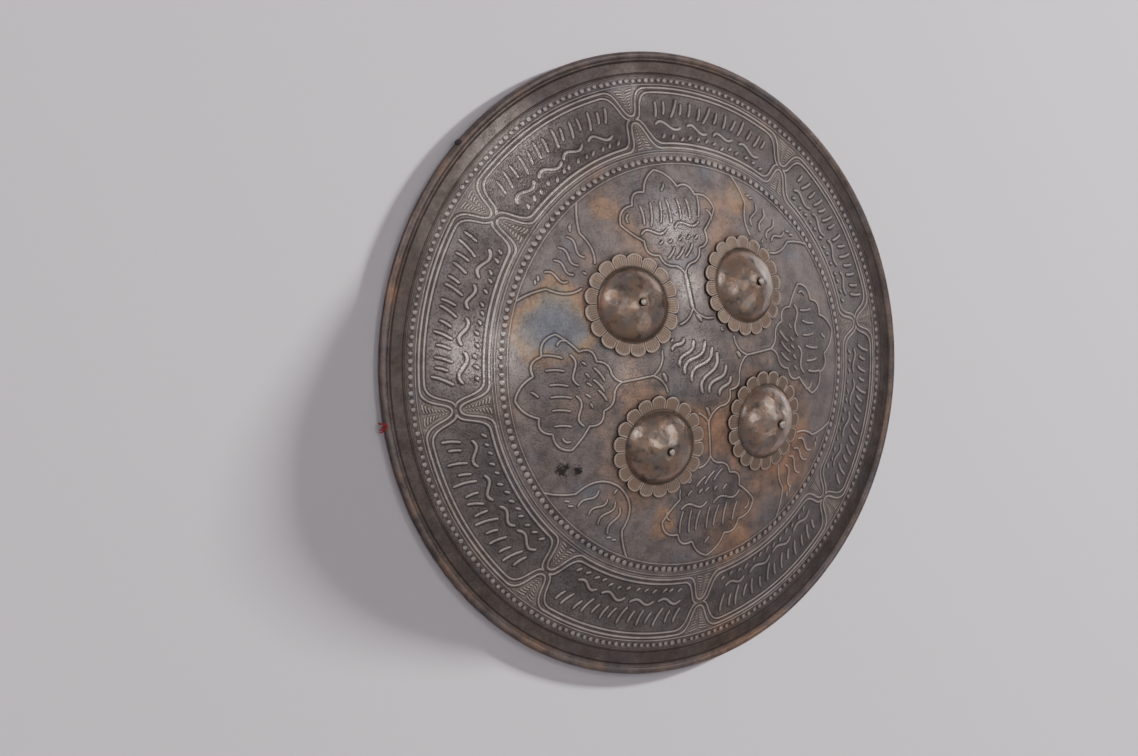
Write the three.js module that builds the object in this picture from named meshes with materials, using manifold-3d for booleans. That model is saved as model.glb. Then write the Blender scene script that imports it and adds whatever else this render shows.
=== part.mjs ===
// A round domed shield of sheet metal, about 45 cm across, lying rim down on z = 0.
// Millimetres, +Z up, the origin under the middle of the dome.
import * as THREE from 'three';
import { mergeVertices } from 'three/addons/utils/BufferGeometryUtils.js';
import Module from 'manifold-3d';

const wasm = await Module();
wasm.setup();

// Dish: a spherical bowl whose brim eases out to a rolled rim.
const RIM_RADIUS = 225;
const RIM_BEAD = 3;
const REST_WIDTH = 3;
const APEX = 62;
const DOME_RADIUS = 370;
const BRIM_START = 168;
const BRIM_END = 218;
const BRIM_END_SLOPE = 0.15;
const SHEET = 1.6;
const BEAD_ANGLES = [110, 60, 0, -45];
const INSIDE_RINGS = [BRIM_END, 195, BRIM_START, 140];
const DISH_SIDES = 40;
const FIELD_RINGS = [35, 70, 105];
const FIELD_SIDES = 24;

// Mouldings on both sides of the border as [radius, rise]: a thin line, a row of pearls in
// one low round, and another line inside; a thin line and a row of pearls outside.
const INNER_MOULDING = [
  [142, 0], [143, 0.6], [144.5, 0], [146.5, 0.9], [148.5, 0], [151, 0.6], [152, 0],
];
const OUTER_MOULDING = [[199.6, 0], [200.5, 0.6], [201.6, 0], [203.6, 0.9], [205.6, 0]];

// Border of cartouches: an outer and an inner double band that meet in a knot between
// neighbours; the section gives [across, rise] from foot to foot.
const CARTOUCHES = 8;
const KNOT_RADIUS = 176.3;
const BAND_SWING = 20.3;
const KNOT_SWING = 2.9;
const BAND_TURN = 15;
const BAND_SECTION = [[-2.6, 0], [-1.6, 0.8], [0, 0.3], [1.6, 0.8], [2.6, 0]];
const TURN_STEPS = 4;
const PLATEAU_STEPS = 4;

// Outlines of the field, as half shapes: across, out from the middle, and the bulge of the
// stretch that ends there (rise over chord, to the left of the way along it).
const PALMETTE = [
  [0, 139.5, 0],
  [14.5, 125.5, 0.12],
  [27, 117.8, 0.28],
  [40.5, 106, 0.22],
  [26, 92.2, 0.04],
  [17.2, 81, 0.3],
  [7, 71.8, 0.2],
  [0, 65, -0.12],
];
const HALF_PALMETTE = [
  [-41, 136.8, 0],
  [-23.5, 125, 0.05],
  [0, 103.5, -0.2],
];
const LOZENGE = [
  [0, 41, 0],
  [12, 31.5, -0.12],
  [21.3, 21.3, 0.3],
];
const LINE_SECTION = [[-1.9, -0.5], [0, 0.9], [1.9, -0.5]];
const BULGE_PER_STEP = 0.12;
const MITRE_LIMIT = 2;
const STEM_INNER = 40;
const STEM_OUTER = 66;
const STEM_SECTION = [[-2.9, -0.5], [-1.8, 0.8], [1.8, 0.8], [2.9, -0.5]];

// Bosses: hollow domes with a scalloped flange that follows the dish. Each stands at an angle
// and a distance from the middle, and has a notch between two petals at an angle about its axis.
const BOSSES = [
  { name: 'upper_right', angle: 44.3, radius: 69.8, petals: 18, notch: 0.7 },
  { name: 'upper_left', angle: 132.7, radius: 69.3, petals: 17, notch: 15.4 },
  { name: 'lower_left', angle: 230.6, radius: 65.5, petals: 18, notch: 5.8 },
  { name: 'lower_right', angle: 315.9, radius: 72.7, petals: 18, notch: 3.7 },
];
const GAP = 0.3;
const BOSS_RADIUS = 26;
const BOSS_HEIGHT = 17;
const BOSS_SHEET = 1.2;
const PETAL_TIP = 36.5;
const PETAL_NOTCH = 31.5;
const BOSS_SIDES = 20;
const BOSS_INNER_SIDES = 12;
const BOSS_LEVELS = [0.42, 0.72, 0.9];
const FLANGE_CLEARANCE = 0.6;
const SEAT_DEPTH = 10;
const SEAT_SIDES = 36;

// Rivets through the bosses and the dish.
const RIVET_HEAD_RADIUS = 3;
const RIVET_HEAD_HEIGHT = 1.8;
const RIVET_HEAD_SHOULDER = 0.7;
const RIVET_SHANK = 1.8;
const RIVET_HOLE = 2.3;
const RIVET_TAIL_RADIUS = 4.5;
const RIVET_TAIL_HEIGHT = 1.8;
const RIVET_TAIL_GAP = 0.6;
const RIVET_SIDES = 8;

const DOME_CENTRE = APEX - DOME_RADIUS;
const DEGREE = Math.PI / 180;

/** Height of the dish's outer face, without relief, at a distance from the axis. */
function domeHeight(radius) {
  const onSphere = Math.min(radius, BRIM_START);
  const height = DOME_CENTRE + Math.sqrt(DOME_RADIUS ** 2 - onSphere ** 2);
  if (radius <= BRIM_START) return height;
  const slope = BRIM_START / (height - DOME_CENTRE);
  const along = radius - BRIM_START;
  const easing = (slope - BRIM_END_SLOPE) / (2 * (BRIM_END - BRIM_START));
  return height - slope * along + easing * along ** 2;
}

/** Even parts of a full turn, from 0 to under 1. */
function evenTurns(count) {
  return Array.from({ length: count }, (_, i) => i / count);
}

/** A ring of points at some parts of a turn; radius and height are numbers or functions of the turn. */
function ring(turns, radius, height) {
  const at = (value, turn) => (typeof value === 'function' ? value(turn) : value);
  const points = turns.map((turn) => {
    const reach = at(radius, turn);
    const angle = 2 * Math.PI * turn;
    return new THREE.Vector3(reach * Math.cos(angle), reach * Math.sin(angle), at(height, turn));
  });
  return { turns, points };
}

/** A ring of one point on the axis. */
function pole(height) {
  return { turns: [0], points: [new THREE.Vector3(0, 0, height)] };
}

/** Fills the strip between two rings of points, whatever their counts, with triangles. */
function zip(triangles, ringA, startA, ringB, startB) {
  const countA = ringA.points.length;
  const countB = ringB.points.length;
  const stepsA = countA > 1 ? countA : 0;
  const stepsB = countB > 1 ? countB : 0;
  const reached = (turns, step) => (step < turns.length ? turns[step] : 1);
  let i = 0;
  let j = 0;
  while (i < stepsA || j < stepsB) {
    const a = startA + (i % countA);
    const b = startB + (j % countB);
    const nearerB = reached(ringB.turns, j + 1) <= reached(ringA.turns, i + 1);
    if (i === stepsA || (j < stepsB && nearerB)) {
      j += 1;
      triangles.push(a, b, startB + (j % countB));
    } else {
      i += 1;
      triangles.push(a, b, startA + (i % countA));
    }
  }
}

/** Skins a row of rings; a ring of one point is a pole, and a looped row meets its start. */
function loft(rings, looped = false) {
  const starts = [0];
  for (const { points } of rings) starts.push(starts[starts.length - 1] + points.length);
  const triangles = [];
  const strips = looped ? rings.length : rings.length - 1;
  for (let k = 0; k < strips; k += 1) {
    const next = (k + 1) % rings.length;
    zip(triangles, rings[k], starts[k], rings[next], starts[next]);
  }
  const geometry = new THREE.BufferGeometry().setFromPoints(rings.flatMap(({ points }) => points));
  geometry.setIndex(triangles);
  return geometry;
}

/** Turns a closed geometry into a solid for joining and cutting. */
function toSolid(geometry) {
  const bare = geometry.clone();
  bare.deleteAttribute('normal');
  bare.deleteAttribute('uv');
  const merged = mergeVertices(bare);
  return new wasm.Manifold(new wasm.Mesh({
    numProp: 3,
    vertProperties: new Float32Array(merged.attributes.position.array),
    triVerts: new Uint32Array(merged.index.array),
  }));
}

/** Turns a solid back into a geometry. */
function toGeometry(solid) {
  const mesh = solid.getMesh();
  const geometry = new THREE.BufferGeometry();
  geometry.setAttribute('position', new THREE.BufferAttribute(mesh.vertProperties, 3));
  geometry.setIndex(new THREE.BufferAttribute(mesh.triVerts, 1));
  geometry.computeVertexNormals();
  return geometry;
}

/** Distances from a knot, along the border, at which its columns stand. */
function borderColumns() {
  const pitch = 2 * Math.PI * KNOT_RADIUS / CARTOUCHES;
  const columns = [];
  for (let i = 0; i < TURN_STEPS; i += 1) columns.push(BAND_TURN * i / TURN_STEPS);
  for (let i = 0; i <= PLATEAU_STEPS; i += 1) {
    columns.push(BAND_TURN + (pitch - 2 * BAND_TURN) * i / PLATEAU_STEPS);
  }
  for (let i = 1; i < TURN_STEPS; i += 1) columns.push(pitch - BAND_TURN * (TURN_STEPS - i) / TURN_STEPS);
  return columns;
}

/** How far a band stands from the knots' circle, and how steeply it leaves it, at a part of a turn. */
function bandSwing(turn) {
  const pitch = 2 * Math.PI * KNOT_RADIUS / CARTOUCHES;
  const along = (turn * CARTOUCHES % 1) * pitch;
  const part = Math.min(1, along / BAND_TURN, (pitch - along) / BAND_TURN);
  const travel = BAND_SWING - KNOT_SWING;
  const swing = KNOT_SWING + travel * part ** 2 * (3 - 2 * part);
  const slope = 6 * travel / BAND_TURN * part * (1 - part);
  return { swing, slope };
}

/** Rings of the inner band (side -1) or the outer band (side +1) of the border, from inside out. */
function bandRings(side) {
  const columns = borderColumns();
  const turns = evenTurns(CARTOUCHES).flatMap((start) => (
    columns.map((along) => start + along / (2 * Math.PI * KNOT_RADIUS))
  ));
  return BAND_SECTION.map(([across, rise]) => {
    const reach = (turn) => {
      const { swing, slope } = bandSwing(turn);
      return KNOT_RADIUS + side * swing + across * Math.hypot(1, slope);
    };
    return ring(turns, reach, (turn) => domeHeight(reach(turn)) + rise);
  });
}

/** The dish without the ornament of its field: outer face, rolled rim and plain inner face. */
function plainDish() {
  const turns = evenTurns(DISH_SIDES);
  const fieldTurns = evenTurns(FIELD_SIDES);
  const raised = ([radius, rise]) => ring(turns, radius, domeHeight(radius) + rise);
  const lowered = (parts) => (radius) => {
    const slant = Math.hypot(1, (domeHeight(radius - 1) - domeHeight(radius + 1)) / 2);
    return ring(parts, radius, domeHeight(radius) - SHEET * slant);
  };
  const beadMiddle = RIM_RADIUS - RIM_BEAD;
  const bead = BEAD_ANGLES.map((angle) => {
    const reach = beadMiddle + RIM_BEAD * Math.cos(angle * DEGREE);
    return ring(turns, reach, RIM_BEAD * (1 + Math.sin(angle * DEGREE)));
  });
  return loft([
    pole(APEX),
    ...FIELD_RINGS.map((radius) => ring(fieldTurns, radius, domeHeight(radius))),
    ...INNER_MOULDING.map(raised),
    ...bandRings(-1),
    ...bandRings(1),
    ...OUTER_MOULDING.map(raised),
    raised([BRIM_END, 0]),
    ...bead,
    ring(turns, beadMiddle + REST_WIDTH / 2, 0),
    ring(turns, beadMiddle - REST_WIDTH / 2, 0),
    ...INSIDE_RINGS.map(lowered(turns)),
    ...FIELD_RINGS.toReversed().map(lowered(fieldTurns)),
    pole(APEX - SHEET),
  ]);
}

/** Direction to the left of a path at one of its points, lengthened at corners to hold the width. */
function leftOf(path, i, closed) {
  const count = path.length;
  const before = closed || i > 0 ? path[(i + count - 1) % count] : path[i];
  const after = closed || i < count - 1 ? path[(i + 1) % count] : path[i];
  const left = (from, to) => new THREE.Vector2(from.y - to.y, to.x - from.x).normalize();
  const first = before === path[i] ? left(path[i], after) : left(before, path[i]);
  const second = after === path[i] ? first : left(path[i], after);
  const middle = first.clone().add(second).normalize();
  return middle.divideScalar(Math.max(middle.dot(first), 1 / MITRE_LIMIT));
}

/** A raised line: a section of [across, rise] points carried over the dish along a plan path. */
function ridge(path, section, closed) {
  const rings = path.map((point, i) => {
    const left = leftOf(path, i, closed);
    const points = section.map(([across, rise]) => {
      const spot = point.clone().addScaledVector(left, across);
      return new THREE.Vector3(spot.x, spot.y, domeHeight(spot.length()) + rise);
    });
    return { turns: evenTurns(points.length), points };
  });
  if (closed) return loft(rings, true);
  const cap = ({ points }) => ({ turns: [0], points: [points[0].clone().lerp(points.at(-1), 0.5)] });
  return loft([cap(rings[0]), ...rings, cap(rings.at(-1))]);
}

/** Plan points of an outline whose stretches each have a bulge. */
function outline(stretches) {
  const path = [new THREE.Vector2(stretches[0][0], stretches[0][1])];
  for (const [x, y, bulge] of stretches.slice(1)) {
    const from = path[path.length - 1];
    const to = new THREE.Vector2(x, y);
    const rise = new THREE.Vector2(from.y - to.y, to.x - from.x).multiplyScalar(2 * bulge);
    const control = from.clone().lerp(to, 0.5).add(rise);
    const curve = new THREE.QuadraticBezierCurve(from, control, to);
    const steps = 1 + Math.round(Math.abs(bulge) / BULGE_PER_STEP);
    path.push(...curve.getPoints(steps).slice(1));
  }
  return path;
}

/** Turns a path about the middle of the shield, from the +Y axis to an angle in degrees. */
function turned(path, angle) {
  const origin = new THREE.Vector2();
  return path.map((point) => point.clone().rotateAround(origin, (angle - 90) * DEGREE));
}

/** Adds the mirror image, about the +Y axis, of a path that ends there, and starts there if closed. */
function mirrored(path, closed) {
  const other = path.slice(closed ? 1 : 0, -1).reverse();
  return [...path, ...other.map((point) => new THREE.Vector2(-point.x, point.y))];
}

/** All raised lines of the field, as geometries. */
function ornament() {
  const lines = [];
  const palmette = mirrored(outline(PALMETTE), true);
  const halfPalmette = mirrored(outline(HALF_PALMETTE), false);
  const eighth = outline(LOZENGE);
  const quarter = [...eighth, ...eighth.slice(1, -1).reverse().map((p) => new THREE.Vector2(p.y, p.x))];
  const lozenge = [0, 90, 180, 270].flatMap((angle) => turned(quarter, 90 - angle));
  const stem = [STEM_OUTER, (STEM_OUTER + STEM_INNER) / 2, STEM_INNER];
  const stemPath = stem.map((radius) => new THREE.Vector2(0, radius));
  lines.push(ridge(lozenge, LINE_SECTION, true));
  for (let angle = 0; angle < 360; angle += 90) {
    lines.push(ridge(turned(palmette, angle), LINE_SECTION, true));
    lines.push(ridge(turned(stemPath, angle), STEM_SECTION, false));
    lines.push(ridge(turned(halfPalmette, angle + 45), LINE_SECTION, false));
  }
  return lines;
}

/** A group whose +Z axis runs from the dome's centre out through a boss. */
function bossGroup({ angle, radius }) {
  const group = new THREE.Group();
  group.position.set(0, 0, DOME_CENTRE);
  group.rotation.order = 'ZYX';
  group.rotation.set(0, Math.asin(radius / DOME_RADIUS), angle * DEGREE);
  group.updateMatrixWorld(true);
  return group;
}

/** A round bar along a boss's axis, from one distance to another from the dome's centre. */
function axialBar(boss, radius, sides, from, to) {
  const bar = new THREE.CylinderGeometry(radius, radius, to - from, sides);
  bar.rotateX(Math.PI / 2);
  bar.translate(0, 0, (from + to) / 2);
  bar.applyMatrix4(bossGroup(boss).matrixWorld);
  return toSolid(bar);
}

/** The dish with its ornament, clear of the flanges, and with the rivet holes. */
function dish() {
  let relief = null;
  for (const line of ornament()) {
    relief = relief ? relief.add(toSolid(line)) : toSolid(line);
  }
  for (const boss of BOSSES) {
    const reach = PETAL_TIP + FLANGE_CLEARANCE;
    const seat = axialBar(boss, reach, SEAT_SIDES, DOME_RADIUS - SEAT_DEPTH, DOME_RADIUS + SEAT_DEPTH);
    relief = relief.subtract(seat);
  }
  let body = toSolid(plainDish()).add(relief);
  for (const boss of BOSSES) {
    const depth = 2 * SHEET;
    body = body.subtract(axialBar(boss, RIVET_HOLE, RIVET_SIDES, DOME_RADIUS - depth, DOME_RADIUS + depth));
  }
  return toGeometry(body);
}

/** Height of a sphere about the dome's centre above that centre, at a distance from its axis. */
function shellHeight(sphere, radius) {
  return Math.sqrt(sphere ** 2 - radius ** 2);
}

/** One boss in its own group: a dome on a scalloped flange, open below, with a rivet hole. */
function bossGeometry({ petals }) {
  const seat = DOME_RADIUS + GAP;
  const top = seat + BOSS_SHEET;
  const base = shellHeight(top, BOSS_RADIUS);
  const capRadius = (BOSS_RADIUS ** 2 + BOSS_HEIGHT ** 2) / (2 * BOSS_HEIGHT);
  const capCentre = base + BOSS_HEIGHT - capRadius;
  const inner = capRadius - BOSS_SHEET;
  const scallop = (turn) => ((turn * 3 * petals + 0.5) % 3 < 1 ? PETAL_NOTCH : PETAL_TIP);
  const edge = (PETAL_TIP + PETAL_NOTCH) / 2;
  const cap = (sphere, radius) => capCentre + Math.sqrt(sphere ** 2 - radius ** 2);
  const innerBase = Math.sqrt(inner ** 2 - (shellHeight(seat, BOSS_RADIUS) - capCentre) ** 2);
  const hole = evenTurns(RIVET_SIDES);
  const outside = evenTurns(BOSS_SIDES);
  const inside = evenTurns(BOSS_INNER_SIDES);
  const scallops = evenTurns(3 * petals);
  const reaches = BOSS_LEVELS.map((level) => level * BOSS_RADIUS);
  return loft([
    ring(hole, RIVET_HOLE, cap(capRadius, RIVET_HOLE)),
    ...reaches.map((reach) => ring(outside, reach, cap(capRadius, reach))),
    ring(outside, BOSS_RADIUS, base),
    ring(scallops, scallop, shellHeight(top, edge)),
    ring(scallops, scallop, shellHeight(seat, edge)),
    ring(inside, innerBase, shellHeight(seat, innerBase)),
    ...reaches.slice(0, -1).reverse().map((reach) => ring(inside, reach, cap(inner, reach))),
    ring(hole, RIVET_HOLE, cap(inner, RIVET_HOLE)),
  ], true);
}

/** One rivet in its boss's group: low domed head, shank and flat peened tail. */
function rivetGeometry() {
  const head = shellHeight(DOME_RADIUS + GAP + BOSS_SHEET, BOSS_RADIUS) + BOSS_HEIGHT + GAP;
  const tail = DOME_RADIUS - SHEET - RIVET_TAIL_GAP;
  const turns = evenTurns(RIVET_SIDES);
  return loft([
    pole(head + RIVET_HEAD_HEIGHT),
    ring(turns, RIVET_HEAD_SHOULDER * RIVET_HEAD_RADIUS, head + RIVET_HEAD_SHOULDER * RIVET_HEAD_HEIGHT),
    ring(turns, RIVET_HEAD_RADIUS, head),
    ring(turns, RIVET_SHANK, head),
    ring(turns, RIVET_SHANK, tail),
    ring(turns, RIVET_TAIL_RADIUS, tail),
    ring(turns, RIVET_TAIL_RADIUS, tail - RIVET_TAIL_HEIGHT),
    pole(tail - RIVET_TAIL_HEIGHT),
  ]);
}

const steel = new THREE.MeshStandardMaterial({ color: 0x6b625e, roughness: 0.5, metalness: 0.9 });
const warmSteel = new THREE.MeshStandardMaterial({ color: 0x7a6354, roughness: 0.4, metalness: 0.9 });
const rivetIron = new THREE.MeshStandardMaterial({ color: 0x8a7d70, roughness: 0.45, metalness: 0.9 });

/** A named piece of the shield. */
function piece(name, geometry, material) {
  const mesh = new THREE.Mesh(geometry, material);
  mesh.name = name;
  return mesh;
}

const shield = new THREE.Group();
shield.add(piece('shield_dish', dish(), steel));
for (const boss of BOSSES) {
  const group = bossGroup(boss);
  const dome = piece(`boss_${boss.name}`, bossGeometry(boss), warmSteel);
  dome.rotation.z = boss.notch * DEGREE;
  group.add(dome);
  group.add(piece(`rivet_${boss.name}`, rivetGeometry(), rivetIron));
  shield.add(group);
}

export default shield;
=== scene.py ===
"""A round domed shield of chased sheet metal, about 45 cm across, lying rim down on a pale floor.

Sizes are millimetres until a mesh is made, +Z is up and the origin lies under the middle of the
dome. A place on the shield is given in plan, and a shape is carried onto the dome from there.
"""
import logging
import math
from collections.abc import Callable, Sequence
from dataclasses import dataclass, field
from enum import Enum

import bpy
import numpy as np
from mathutils import Matrix, Vector


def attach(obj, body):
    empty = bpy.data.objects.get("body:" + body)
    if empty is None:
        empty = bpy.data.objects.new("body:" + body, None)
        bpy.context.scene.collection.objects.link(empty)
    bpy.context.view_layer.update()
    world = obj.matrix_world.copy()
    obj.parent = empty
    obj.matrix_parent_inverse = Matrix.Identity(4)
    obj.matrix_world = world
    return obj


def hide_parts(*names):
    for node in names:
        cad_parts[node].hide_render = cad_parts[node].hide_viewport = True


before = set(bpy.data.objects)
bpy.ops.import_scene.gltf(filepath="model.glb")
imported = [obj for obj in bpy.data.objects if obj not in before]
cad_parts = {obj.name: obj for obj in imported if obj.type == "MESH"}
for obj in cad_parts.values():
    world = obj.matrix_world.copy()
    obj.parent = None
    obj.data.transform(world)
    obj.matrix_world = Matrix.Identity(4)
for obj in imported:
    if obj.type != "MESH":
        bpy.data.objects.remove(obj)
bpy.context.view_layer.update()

Array = np.ndarray
Marks = dict[str, Array]
MM = 0.001
BODY = "root"
LOG = logging.getLogger("shield")


class Slot(Enum):
    """Material slots of the record."""

    DISH = "dish_metal"
    BOSS = "boss_metal"
    RIVET = "rivet_metal"


def bell(value: Array) -> Array:
    """Rises from 0 at -1 to 1 at 0 and falls to 0 at 1, level at all three; 0 elsewhere."""
    return np.where(np.abs(value) < 1, np.cos(np.clip(value, -1, 1) * math.pi / 2) ** 2, 0.0)


def ease(value: Array, start: float, end: float) -> Array:
    """Smooth step from 0 at start to 1 at end; start may be the larger one."""
    share = np.clip((value - start) / (end - start), 0, 1)
    return share * share * (3 - 2 * share)


def way(turn: Array) -> Array:
    """Plan unit vectors at turns about +Z, in radians."""
    return np.stack([np.cos(turn), np.sin(turn)], axis=-1)


def circle(count: int) -> Array:
    """Even turns round a full circle, without the last one that meets the first."""
    return np.linspace(0, 2 * math.pi, count, endpoint=False)


def spun(path: Array, angle: float) -> Array:
    """Plan points turned about the middle of the shield by an angle in degrees."""
    turn = math.radians(angle)
    return path @ np.array([[math.cos(turn), math.sin(turn)], [-math.sin(turn), math.cos(turn)]])


@dataclass
class Surface:
    """Points in millimetres, the faces between them and the values painted on them."""

    points: Array
    quads: Array
    triangles: Array
    marks: Marks

    @classmethod
    def loft(cls, rings: Array, marks: Marks, looped: bool = False) -> "Surface":
        """Skins a row of closed rings that run anticlockwise as seen from outside.

        Point j of ring i meets its neighbours j + 1 and i + 1, the last point of a ring meets its
        first, and the end rings are filled by a fan round their mean point unless the row is looped.

        Args:
            rings: points as (ring, place, xyz).
            marks: painted values as (ring, place).
            looped: whether the last ring meets the first one.

        Returns:
            The closed surface.
        """
        count, places = rings.shape[:2]
        index = np.arange(count * places).reshape(count, places)
        index = np.concatenate([index, index[:, :1]], axis=1)
        points = rings.reshape(-1, 3)
        values = {label: value.reshape(-1) for label, value in marks.items()}
        triangles = np.zeros((0, 3), int)
        if looped:
            index = np.concatenate([index, index[:1]], axis=0)
        else:
            poles = np.stack([rings[0].mean(0), rings[-1].mean(0)])
            first = np.full(places, len(points))
            triangles = np.concatenate([
                np.stack([first, index[0, :-1], index[0, 1:]], axis=1),
                np.stack([first + 1, index[-1, 1:], index[-1, :-1]], axis=1),
            ])
            points = np.concatenate([points, poles])
            ends = {label: [value[0].mean(), value[-1].mean()] for label, value in marks.items()}
            values = {label: np.concatenate([value, ends[label]]) for label, value in values.items()}
        corners = [index[:-1, :-1], index[1:, :-1], index[1:, 1:], index[:-1, 1:]]
        return cls(points, np.stack(corners, axis=-1).reshape(-1, 4), triangles, values)

    @classmethod
    def joined(cls, parts: Sequence["Surface"]) -> "Surface":
        """Puts several surfaces with the same marks into one.

        Args:
            parts: the surfaces.

        Returns:
            One surface of them all.
        """
        starts = np.cumsum([0] + [len(part.points) for part in parts])
        return cls(
            np.concatenate([part.points for part in parts]),
            np.concatenate([part.quads + start for part, start in zip(parts, starts)]),
            np.concatenate([part.triangles + start for part, start in zip(parts, starts)]),
            {label: np.concatenate([part.marks[label] for part in parts]) for label in parts[0].marks},
        )

    def to_piece(self, name: str) -> bpy.types.Object:
        """Makes the mesh object, in metres and smooth, with the marks as point attributes.

        Args:
            name: the piece's name.

        Returns:
            The object, linked to the scene and left at the origin.
        """
        mesh = bpy.data.meshes.new(name)
        corners = np.concatenate([self.quads.ravel(), self.triangles.ravel()]).astype(np.int32)
        four = 4 * np.arange(len(self.quads))
        three = 4 * len(self.quads) + 3 * np.arange(len(self.triangles))
        mesh.vertices.add(len(self.points))
        mesh.vertices.foreach_set("co", (self.points * MM).astype(np.float32).ravel())
        mesh.loops.add(len(corners))
        mesh.loops.foreach_set("vertex_index", corners)
        mesh.polygons.add(len(four) + len(three))
        mesh.polygons.foreach_set("loop_start", np.concatenate([four, three]).astype(np.int32))
        mesh.update(calc_edges=True)
        mesh.shade_smooth()
        for label, values in self.marks.items():
            layer = mesh.attributes.new(label, "FLOAT", "POINT")
            layer.data.foreach_set("value", values.astype(np.float32))
        piece = bpy.data.objects.new(name, mesh)
        bpy.context.scene.collection.objects.link(piece)
        faces = 2 * len(self.quads) + len(self.triangles)
        LOG.info("%s: %d points, %d triangles", name, len(self.points), faces)
        return piece


def fit(piece: bpy.types.Object, material: bpy.types.Material, slot: Slot, *nodes: str) -> None:
    """Gives a piece its finish and its place on the body.

    Args:
        piece: the mesh object.
        material: its finish.
        slot: the record's material slot that the finish belongs to; not used.
        nodes: the solids that the piece stands for, if any.
    """
    piece.data.materials.append(material)
    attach(piece, BODY)
    if nodes:
        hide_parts(*nodes)


@dataclass(frozen=True)
class Shell:
    """Form of the dish: a spherical crown whose brim eases out to a rolled rim, beaten by hand."""

    rim_radius: float = 225.0
    bead: float = 3.0
    rest_width: float = 3.0
    apex: float = 62.0
    dome_radius: float = 370.0
    brim_start: float = 168.0
    brim_end: float = 218.0
    brim_end_slope: float = 0.15
    sheet: float = 1.6
    dents: float = 0.16
    dent_waves: int = 9
    dent_length: tuple[float, float] = (38.0, 95.0)
    dents_fade: tuple[float, float] = (214.0, 190.0)

    @property
    def centre(self) -> float:
        """Height of the crown's centre."""
        return self.apex - self.dome_radius

    def unevenness(self, plan: Array) -> Array:
        """Sum of a few plane waves of chosen directions and phases, dying away at the rim.

        Args:
            plan: points as (..., xy).

        Returns:
            The height to add at each point.
        """
        draw = np.random.default_rng(4)
        turn = draw.uniform(0, 2 * math.pi, self.dent_waves)
        phase = draw.uniform(0, 2 * math.pi, self.dent_waves)
        rate = 2 * math.pi / draw.uniform(*self.dent_length, self.dent_waves)
        along = plan[..., :1] * np.cos(turn) + plan[..., 1:2] * np.sin(turn)
        waves = np.sin(along * rate + phase).sum(-1) / math.sqrt(self.dent_waves)
        return self.dents * waves * ease(np.hypot(plan[..., 0], plan[..., 1]), *self.dents_fade)

    def height(self, plan: Array) -> Array:
        """Height of the outer face: the crown's sphere, then a parabola that flattens to the rim.

        Args:
            plan: points as (..., xy).

        Returns:
            The height at each point.
        """
        radius = np.hypot(plan[..., 0], plan[..., 1])
        sphere = self.centre + np.sqrt(self.dome_radius**2 - np.minimum(radius, self.brim_start) ** 2)
        slope = self.brim_start / math.sqrt(self.dome_radius**2 - self.brim_start**2)
        along = np.maximum(radius - self.brim_start, 0)
        easing = (slope - self.brim_end_slope) / (2 * (self.brim_end - self.brim_start))
        return sphere - slope * along + easing * along**2 + self.unevenness(plan)

    def normals(self, plan: Array) -> Array:
        """Outward unit normals of the outer face, from the slopes across half a millimetre.

        Args:
            plan: points as (..., xy).

        Returns:
            Unit vectors as (..., xyz).
        """
        step = 0.25
        east = self.height(plan + [step, 0]) - self.height(plan - [step, 0])
        north = self.height(plan + [0, step]) - self.height(plan - [0, step])
        normal = np.stack([-east, -north, np.full_like(east, 2 * step)], axis=-1)
        return normal / np.linalg.norm(normal, axis=-1, keepdims=True)

    def lift(self, plan: Array, rise: Array | float) -> Array:
        """Points over plan positions, raised along the outer face's normal."""
        ground = np.concatenate([plan, self.height(plan)[..., None]], axis=-1)
        return ground + self.normals(plan) * np.broadcast_to(rise, plan.shape[:-1])[..., None]


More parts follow.
